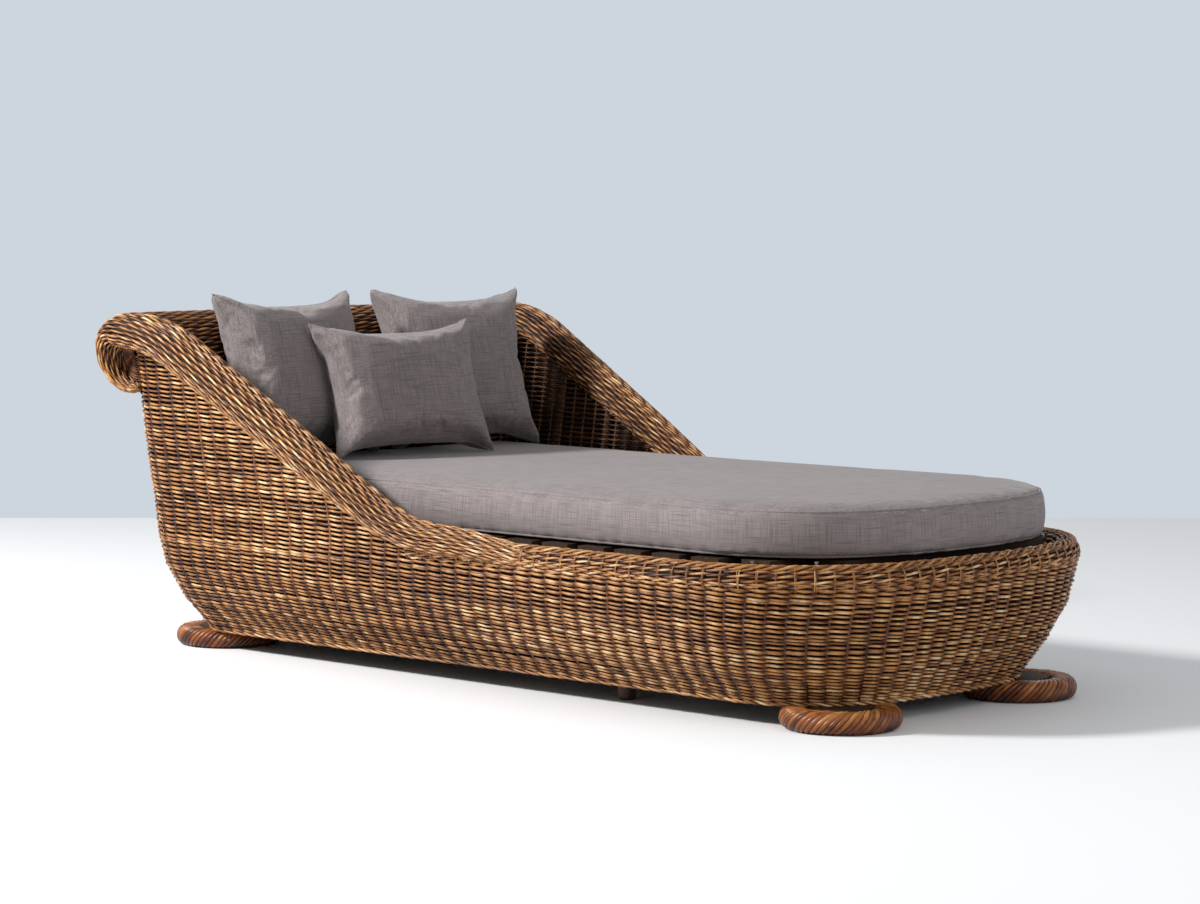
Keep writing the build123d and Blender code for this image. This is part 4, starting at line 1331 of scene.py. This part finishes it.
def even_skin(node, name, voxel):
    """A copy of a cushion's solid with an even skin of small faces."""
    form = bmesh.new()
    form.from_mesh(frame["nodes"][node].data)
    bmesh.ops.remove_doubles(form, verts=form.verts, dist=0.05 * MM)
    mesh = bpy.data.meshes.new(name)
    form.to_mesh(mesh)
    form.free()
    piece = bpy.data.objects.new(name, mesh)
    bpy.context.scene.collection.objects.link(piece)
    remesh = piece.modifiers.new("even_skin", "REMESH")
    remesh.mode = "VOXEL"
    remesh.voxel_size = voxel
    settle(piece)
    smooth = piece.modifiers.new("soften", "SMOOTH")
    smooth.factor = 0.5
    smooth.iterations = 3
    return settle(piece)


def draw_in(piece, amount):
    """Move the skin in along its normals."""
    put_corners(piece.data, corners(piece.data) - amount * corner_normals(piece.data))


SIMULATION_FRAMES = 20


def fill(piece, pressure, growth, cap, seat=None):
    """Swell a skin as cloth with pressure inside, and cap how far it moves.

    Where a seat is given, the cloth below that height rests on the deck and is held.
    """
    before = corners(piece.data)
    cloth = piece.modifiers.new("filling", "CLOTH")
    settings = cloth.settings
    settings.quality = 4
    settings.mass = 0.25
    settings.tension_stiffness = 12.0
    settings.compression_stiffness = 12.0
    settings.shear_stiffness = 4.0
    settings.bending_stiffness = 0.4
    settings.use_pressure = True
    settings.uniform_pressure_force = pressure
    settings.shrink_min = -growth
    settings.effector_weights.gravity = 0.0
    if seat is not None:
        group = piece.vertex_groups.new(name="seat")
        held = np.flatnonzero(before[:, 2] < seat)
        group.add(held.tolist(), 1.0, "REPLACE")
        settings.vertex_group_mass = "seat"
    cloth.point_cache.frame_start = 1
    cloth.point_cache.frame_end = SIMULATION_FRAMES
    for number in range(1, SIMULATION_FRAMES + 1):
        bpy.context.scene.frame_set(number)
        bpy.context.view_layer.update()
    settle(piece)
    moved = corners(piece.data) - before
    length = np.linalg.norm(moved, axis=1, keepdims=True)
    moved *= np.minimum(1.0, cap / np.maximum(length, 1e-9))
    put_corners(piece.data, before + moved)
    piece.vertex_groups.clear()
    bpy.context.scene.frame_set(1)
    print(piece.name, "moved", round(1000 * float(length.max()), 1), "mm, cap", 1000 * cap)


def refine(piece):
    """One level of subdivision."""
    subdivide = piece.modifiers.new("fine_skin", "SUBSURF")
    subdivide.levels = 1
    subdivide.render_levels = 1
    settle(piece)


def finish_cushion(piece, node, body, cover):
    """Give a cushion its cover and its body, and hide its node."""
    piece.data.materials.clear()
    piece.data.materials.append(cover)
    piece.data.polygons.foreach_set("use_smooth", np.ones(len(piece.data.polygons), bool))
    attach(piece, body)
    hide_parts(node)
    print(piece.name, "faces", len(piece.data.polygons))


# %% [markdown]
# ## Mattress
# The mattress is a boxed cushion: a top and a bottom panel sewn to a side band. The seam
# between top and band is a piped edge that pulls the cloth into small gathers. The gathers
# are waves of uneven length along the edge, deepest at the seam.

# %% Mattress
SEAMS = (0.4243, 0.338)  # heights
GATHER_DEPTH = 2.0 * MM
GATHER_REACH = 0.045
GATHER_PITCHES = (0.021, 0.009)
SEAM_PINCH = 1.6 * MM
PINCH_REACH = 0.004
SIDE_BEYOND = 0.40  # distance from the middle from which a point is on a long side
EDGE_SHARES = (0.86, 0.96)  # where on the way to the edge the gathers start and are full
PINCH_SHARES = (0.90, 0.95)


def gathers(places, pitch, seed):
    """Uneven waves along a length, from -1 to 1."""
    own = np.random.default_rng(seed)
    knots = np.arange(-4.0, 4.0, pitch)
    heights = own.uniform(-1.0, 1.0, len(knots))
    return np.interp(places, knots, heights)


def share_between(value, start, full):
    """0 up to the start, 1 from full on, and a straight slope between."""
    return np.clip((value - start) / (full - start), 0.0, 1.0)


mattress = even_skin("mattress", "mattress_cover", voxel=12.5 * MM)
draw_in(mattress, 3 * MM)
fill(mattress, pressure=2.0, growth=0.012, cap=6 * MM, seat=0.334)
refine(mattress)
mattress_low, mattress_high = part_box("mattress")
middle_x = (mattress_low.x + mattress_high.x) / 2
places = corners(mattress.data)
normals = corner_normals(mattress.data)
on_end = places[:, 1] + 0.1 * np.sign(places[:, 1])
length_along = np.where(np.abs(places[:, 1]) > SIDE_BEYOND, places[:, 0], on_end)
for number, seam in enumerate(SEAMS):
    edge = np.maximum(
        np.abs(places[:, 1]) / mattress_high.y,
        np.abs(places[:, 0] - middle_x) / (mattress_high.x - middle_x),
    )
    near = np.clip(1.0 - np.abs(places[:, 2] - seam) / GATHER_REACH, 0.0, 1.0) ** 2
    near *= share_between(edge, *EDGE_SHARES)
    waves = gathers(length_along, GATHER_PITCHES[0], 3 + number)
    waves += 0.5 * gathers(length_along, GATHER_PITCHES[1], 12 + number)
    places += normals * (near * (GATHER_DEPTH * (waves - 0.9)))[:, None]
    pinch = np.exp(-(((places[:, 2] - seam) / PINCH_REACH) ** 2))
    pinch *= share_between(edge, *PINCH_SHARES)
    places -= normals * (SEAM_PINCH * pinch)[:, None]
put_corners(mattress.data, places)
finish_cushion(mattress, "mattress", "mattress", mattress_linen)

# %% [markdown]
# The seams are edged with piping, a cord sewn into a strip of the same linen. Rays from
# outside towards the middle find the cover's skin at the seam's height, and a thin strand
# follows the points that they hit.

# %% Piping
PIPING_RADIUS = 2.6 * MM
PIPING_SUNK = 0.4 * MM
PIPING_SAMPLES = 520
RAY_SHARES = (0.91, 0.46)  # spread of the rays' directions, as the mattress's half sizes
RAY_START = 2.0


def surface_of(piece):
    """The piece's skin, ready for rays."""
    form = bmesh.new()
    form.from_mesh(piece.data)
    tree = BVHTree.FromBMesh(form)
    form.free()
    return tree


def seam_loop(skin, middle, across, up, samples, distance, sunk):
    """Points of a skin round its middle, in the plane of two directions."""
    loop = []
    for angle in np.linspace(0.0, 2 * np.pi, samples, endpoint=False):
        away = (across * math.cos(angle) + up * math.sin(angle)).normalized()
        hit = skin.ray_cast(middle + away * distance, -away)[0]
        if hit is not None:
            loop.append(np.array(hit - away * sunk))
    return np.array(loop)


def piping(name, lines, radius, body):
    """Piped edges: thin round welts in linen."""
    lines = [np.c_[line, np.full(len(line), 0.5)] for line in lines]
    piece = strands(name, lines, radius, piping_linen, body, uneven=0.015, closed=True)
    return piece


mattress_skin = surface_of(mattress)
ray_x, ray_y = Vector((RAY_SHARES[0], 0.0, 0.0)), Vector((0.0, RAY_SHARES[1], 0.0))
loops = []
for seam in SEAMS:
    middle = Vector((middle_x, 0.0, seam))
    loops.append(
        seam_loop(mattress_skin, middle, ray_x, ray_y, PIPING_SAMPLES, RAY_START, PIPING_SUNK)
    )
piping("mattress_piping", loops, PIPING_RADIUS, "mattress")

# %% [markdown]
# Now each vertex of the mattress can say where in the band it lies: how far round, measured
# along the upper seam, and how high. The count starts at the head end, where no one sees
# the place at which it jumps back to nothing.

# %% Place of the band in its cloth
outline = loops[0][:, :2] - (middle_x, 0.0)
outline = outline[np.argsort(np.arctan2(outline[:, 1], outline[:, 0]))]
outline_turn = np.arctan2(outline[:, 1], outline[:, 0])
outline_length = np.r_[0.0, np.cumsum(np.linalg.norm(np.diff(outline, axis=0), axis=1))]
places = corners(mattress.data)
turn_of_place = np.arctan2(places[:, 1], places[:, 0] - middle_x)
round_band = np.interp(turn_of_place, outline_turn, outline_length)
keep_cloth_places(mattress, np.c_[round_band, places[:, 2], np.zeros(len(places))])
print("length round the band", round(outline_length[-1], 3))

# %% [markdown]
# ## Pillows
# Three loose pillows lean on the headrest and on each other. A pillow is two panels sewn
# together round the edge, so it is thick in the middle and thin at a knife edge with
# pointed corners. Its plane leans back, and a thin seam line runs round it. Creases fan out
# from the corners, where the cloth is gathered, and short ones stand along the edges.

# %% Pillows
PILLOW_SEAM = 1.3 * MM
PILLOW_SEAM_SUNK = 0.3 * MM
PILLOW_SEAM_SAMPLES = 260
PILLOW_FOOT = 0.4383  # height of the mattress's top under the pillows
EAR_REACH = 9 * MM
EAR_SHARE = 0.20  # size of a drawn-out corner, as a share of half the pillow
CREASE_DEPTH = 4.4 * MM
CREASE_LENGTH = 0.34
EDGE_CREASES = 0.55
pillow_rows = (
    # node, place, turn and lean in degrees, width and height
    ("rear_pillow_right", (-0.733, -0.250), 0.0, 16.0, 0.400, 0.385),
    ("rear_pillow_left", (-0.708, 0.225), -13.0, 16.0, 0.400, 0.385),
    ("front_pillow", (-0.575, -0.070), -7.0, 19.0, 0.445, 0.325),
)


def ears_and_creases(piece, centre, across, up, half_across, half_up, seed):
    """Draw the corners out to points, and let creases run in from them."""
    own = np.random.default_rng(seed)
    mesh = piece.data
    spots = corners(mesh)
    normals = corner_normals(mesh)
    offset = spots - np.array(centre)
    u = offset @ np.array(across) / half_across
    v = offset @ np.array(up) / half_up
    relief = np.zeros(len(spots))
    for corner_u in (-1.0, 1.0):
        for corner_v in (-1.0, 1.0):
            reach = np.hypot(u - corner_u, v - corner_v)
            angle = np.arctan2(v - corner_v, u - corner_u)
            fold = np.sin(own.uniform(9, 12) * angle + own.uniform(0, 6.3))
            fold += 0.5 * np.sin(own.uniform(17, 22) * angle + own.uniform(0, 6.3))
            relief += fold * np.exp(-reach / CREASE_LENGTH) * share_between(reach, 0.0, 0.22)
            ear = np.exp(-((reach / EAR_SHARE) ** 2))[:, None]
            diagonal = np.array(across) * corner_u + np.array(up) * corner_v
            spots += ear * EAR_REACH * diagonal / math.sqrt(2.0)
    for edge, along in ((u, v), (v, u)):
        pull = gathers(along * 0.2, 0.018, seed + 1) * np.exp(-(1.0 - np.abs(edge)) / 0.10)
        relief += EDGE_CREASES * pull
    spots += normals * (CREASE_DEPTH * relief)[:, None]
    put_corners(mesh, spots)


for node, place, turn, lean, width, height in pillow_rows:
    turn, lean = math.radians(turn), math.radians(lean)
    centre = Vector((*place, PILLOW_FOOT + 0.5 * height * math.cos(lean)))
    across = Vector((-math.sin(turn), math.cos(turn), 0.0))
    facing = Vector(
        (math.cos(turn) * math.cos(lean), math.sin(turn) * math.cos(lean), math.sin(lean))
    )
    up = facing.cross(across)
    pillow = even_skin(node, node + "_cover", voxel=7 * MM)
    draw_in(pillow, 2.5 * MM)
    fill(pillow, pressure=6.0, growth=0.05, cap=16 * MM)
    refine(pillow)
    ears_and_creases(pillow, centre, across, up, width / 2, height / 2, len(node))
    finish_cushion(pillow, node, node, pillow_linen)
    offset = corners(pillow.data) - np.array(centre)
    keep_cloth_places(pillow, offset @ np.array((across, up, facing)).T)
    skin = surface_of(pillow)
    loop = seam_loop(skin, centre, across, up, PILLOW_SEAM_SAMPLES, 1.0, PILLOW_SEAM_SUNK)
    piping(node + "_seam", [loop], PILLOW_SEAM, node)

# %% [markdown]
# ## Floor and light
# The photograph is a studio shot: a near-white floor that ends against a pale blue-grey
# ground. The floor is one plane, whose far edge lies square to the view at the distance
# where the photograph changes from floor to background. Its near-white is its own colour,
# because lamps strong enough to bleach a darker floor would bleach the straw tones too.

# %% Floor
FLOOR_NEAR = -3.0  # distances from the camera, along the view
FLOOR_FAR = 10.9
FLOOR_HALF_WIDTH = 14.0
view_along = Vector((-0.688, 0.725, 0.0)).normalized()
view_side = Vector((0.725, 0.688, 0.0)).normalized()
camera_foot = Vector((camera.location.x, camera.location.y, 0.0))

form = bmesh.new()
bmesh.ops.create_grid(form, x_segments=1, y_segments=1, size=1.0)
for vert in form.verts:
    distance = between(FLOOR_NEAR, FLOOR_FAR, (vert.co.y + 1.0) / 2)
    sideways = FLOOR_HALF_WIDTH * vert.co.x
    vert.co = camera_foot + view_along * distance + view_side * sideways
form.normal_update()
floor_mesh = bpy.data.meshes.new("studio_floor")
form.to_mesh(floor_mesh)
form.free()
floor = bpy.data.objects.new("studio_floor", floor_mesh)
bpy.context.scene.collection.objects.link(floor)
floor_paint, _, floor_shader = new_material("floor_paint", 0.75)
floor_shader.inputs["Base Color"].default_value = (0.86, 0.865, 0.875, 1.0)
floor_shader.inputs["Specular IOR Level"].default_value = 0.3
floor_mesh.materials.append(floor_paint)
print("floor from", FLOOR_NEAR, "to", FLOOR_FAR, "m along the view")

# %% [markdown]
# The world does two jobs. It lights the object with a soft, nearly white light from all
# round, and the camera and mirror-like rays see a pale blue-grey in its place. Light Path
# tells the two kinds of ray apart, so the background's colour doesn't tint the object.

# %% World
world = bpy.data.worlds.new("studio")
bpy.context.scene.world = world
world.use_nodes = True
world_tree = world.node_tree
ambient = world_tree.nodes["Background"]
ambient.inputs["Color"].default_value = (0.95, 0.975, 1.0, 1.0)
ambient.inputs["Strength"].default_value = 0.48
backdrop = world_tree.nodes.new("ShaderNodeBackground")
backdrop.inputs["Color"].default_value = (0.610, 0.670, 0.735, 1.0)
backdrop.inputs["Strength"].default_value = 1.0
rays = world_tree.nodes.new("ShaderNodeLightPath").outputs
mirrored_rays = maths(world_tree, "MAXIMUM", rays["Is Glossy Ray"], rays["Is Transmission Ray"])
seen = maths(world_tree, "MAXIMUM", rays["Is Camera Ray"], mirrored_rays)
mix = world_tree.nodes.new("ShaderNodeMixShader")
world_tree.links.new(seen, mix.inputs["Fac"])
world_tree.links.new(ambient.outputs["Background"], mix.inputs[1])
world_tree.links.new(backdrop.outputs["Background"], mix.inputs[2])
world_tree.links.new(mix.outputs["Shader"], world_tree.nodes["World Output"].inputs["Surface"])
print("ambient strength", round(ambient.inputs["Strength"].default_value, 2))

# %% [markdown]
# Two area lamps stand for the studio's: a key light at the upper left, small enough to
# leave a clear shadow on the right, and a large weak fill from the foot end.


# %% Lamps
def soft_box(name, place, size, power):
    """A square area lamp in watts that points at the middle of the lounger."""
    data = bpy.data.lights.new(name, "AREA")
    data.size = size
    data.energy = power
    lamp = bpy.data.objects.new(name, data)
    lamp.location = place
    lamp.rotation_euler = (LAMP_TARGET - Vector(place)).to_track_quat("-Z", "Y").to_euler()
    bpy.context.scene.collection.objects.link(lamp)
    print(name, size, "m", power, "W")


LAMP_TARGET = Vector((0.0, 0.0, 0.3))
soft_box("key_light", (-2.6, -4.0, 3.5), 0.8, 420.0)
soft_box("fill_light", (4.6, -0.6, 2.6), 3.0, 45.0)
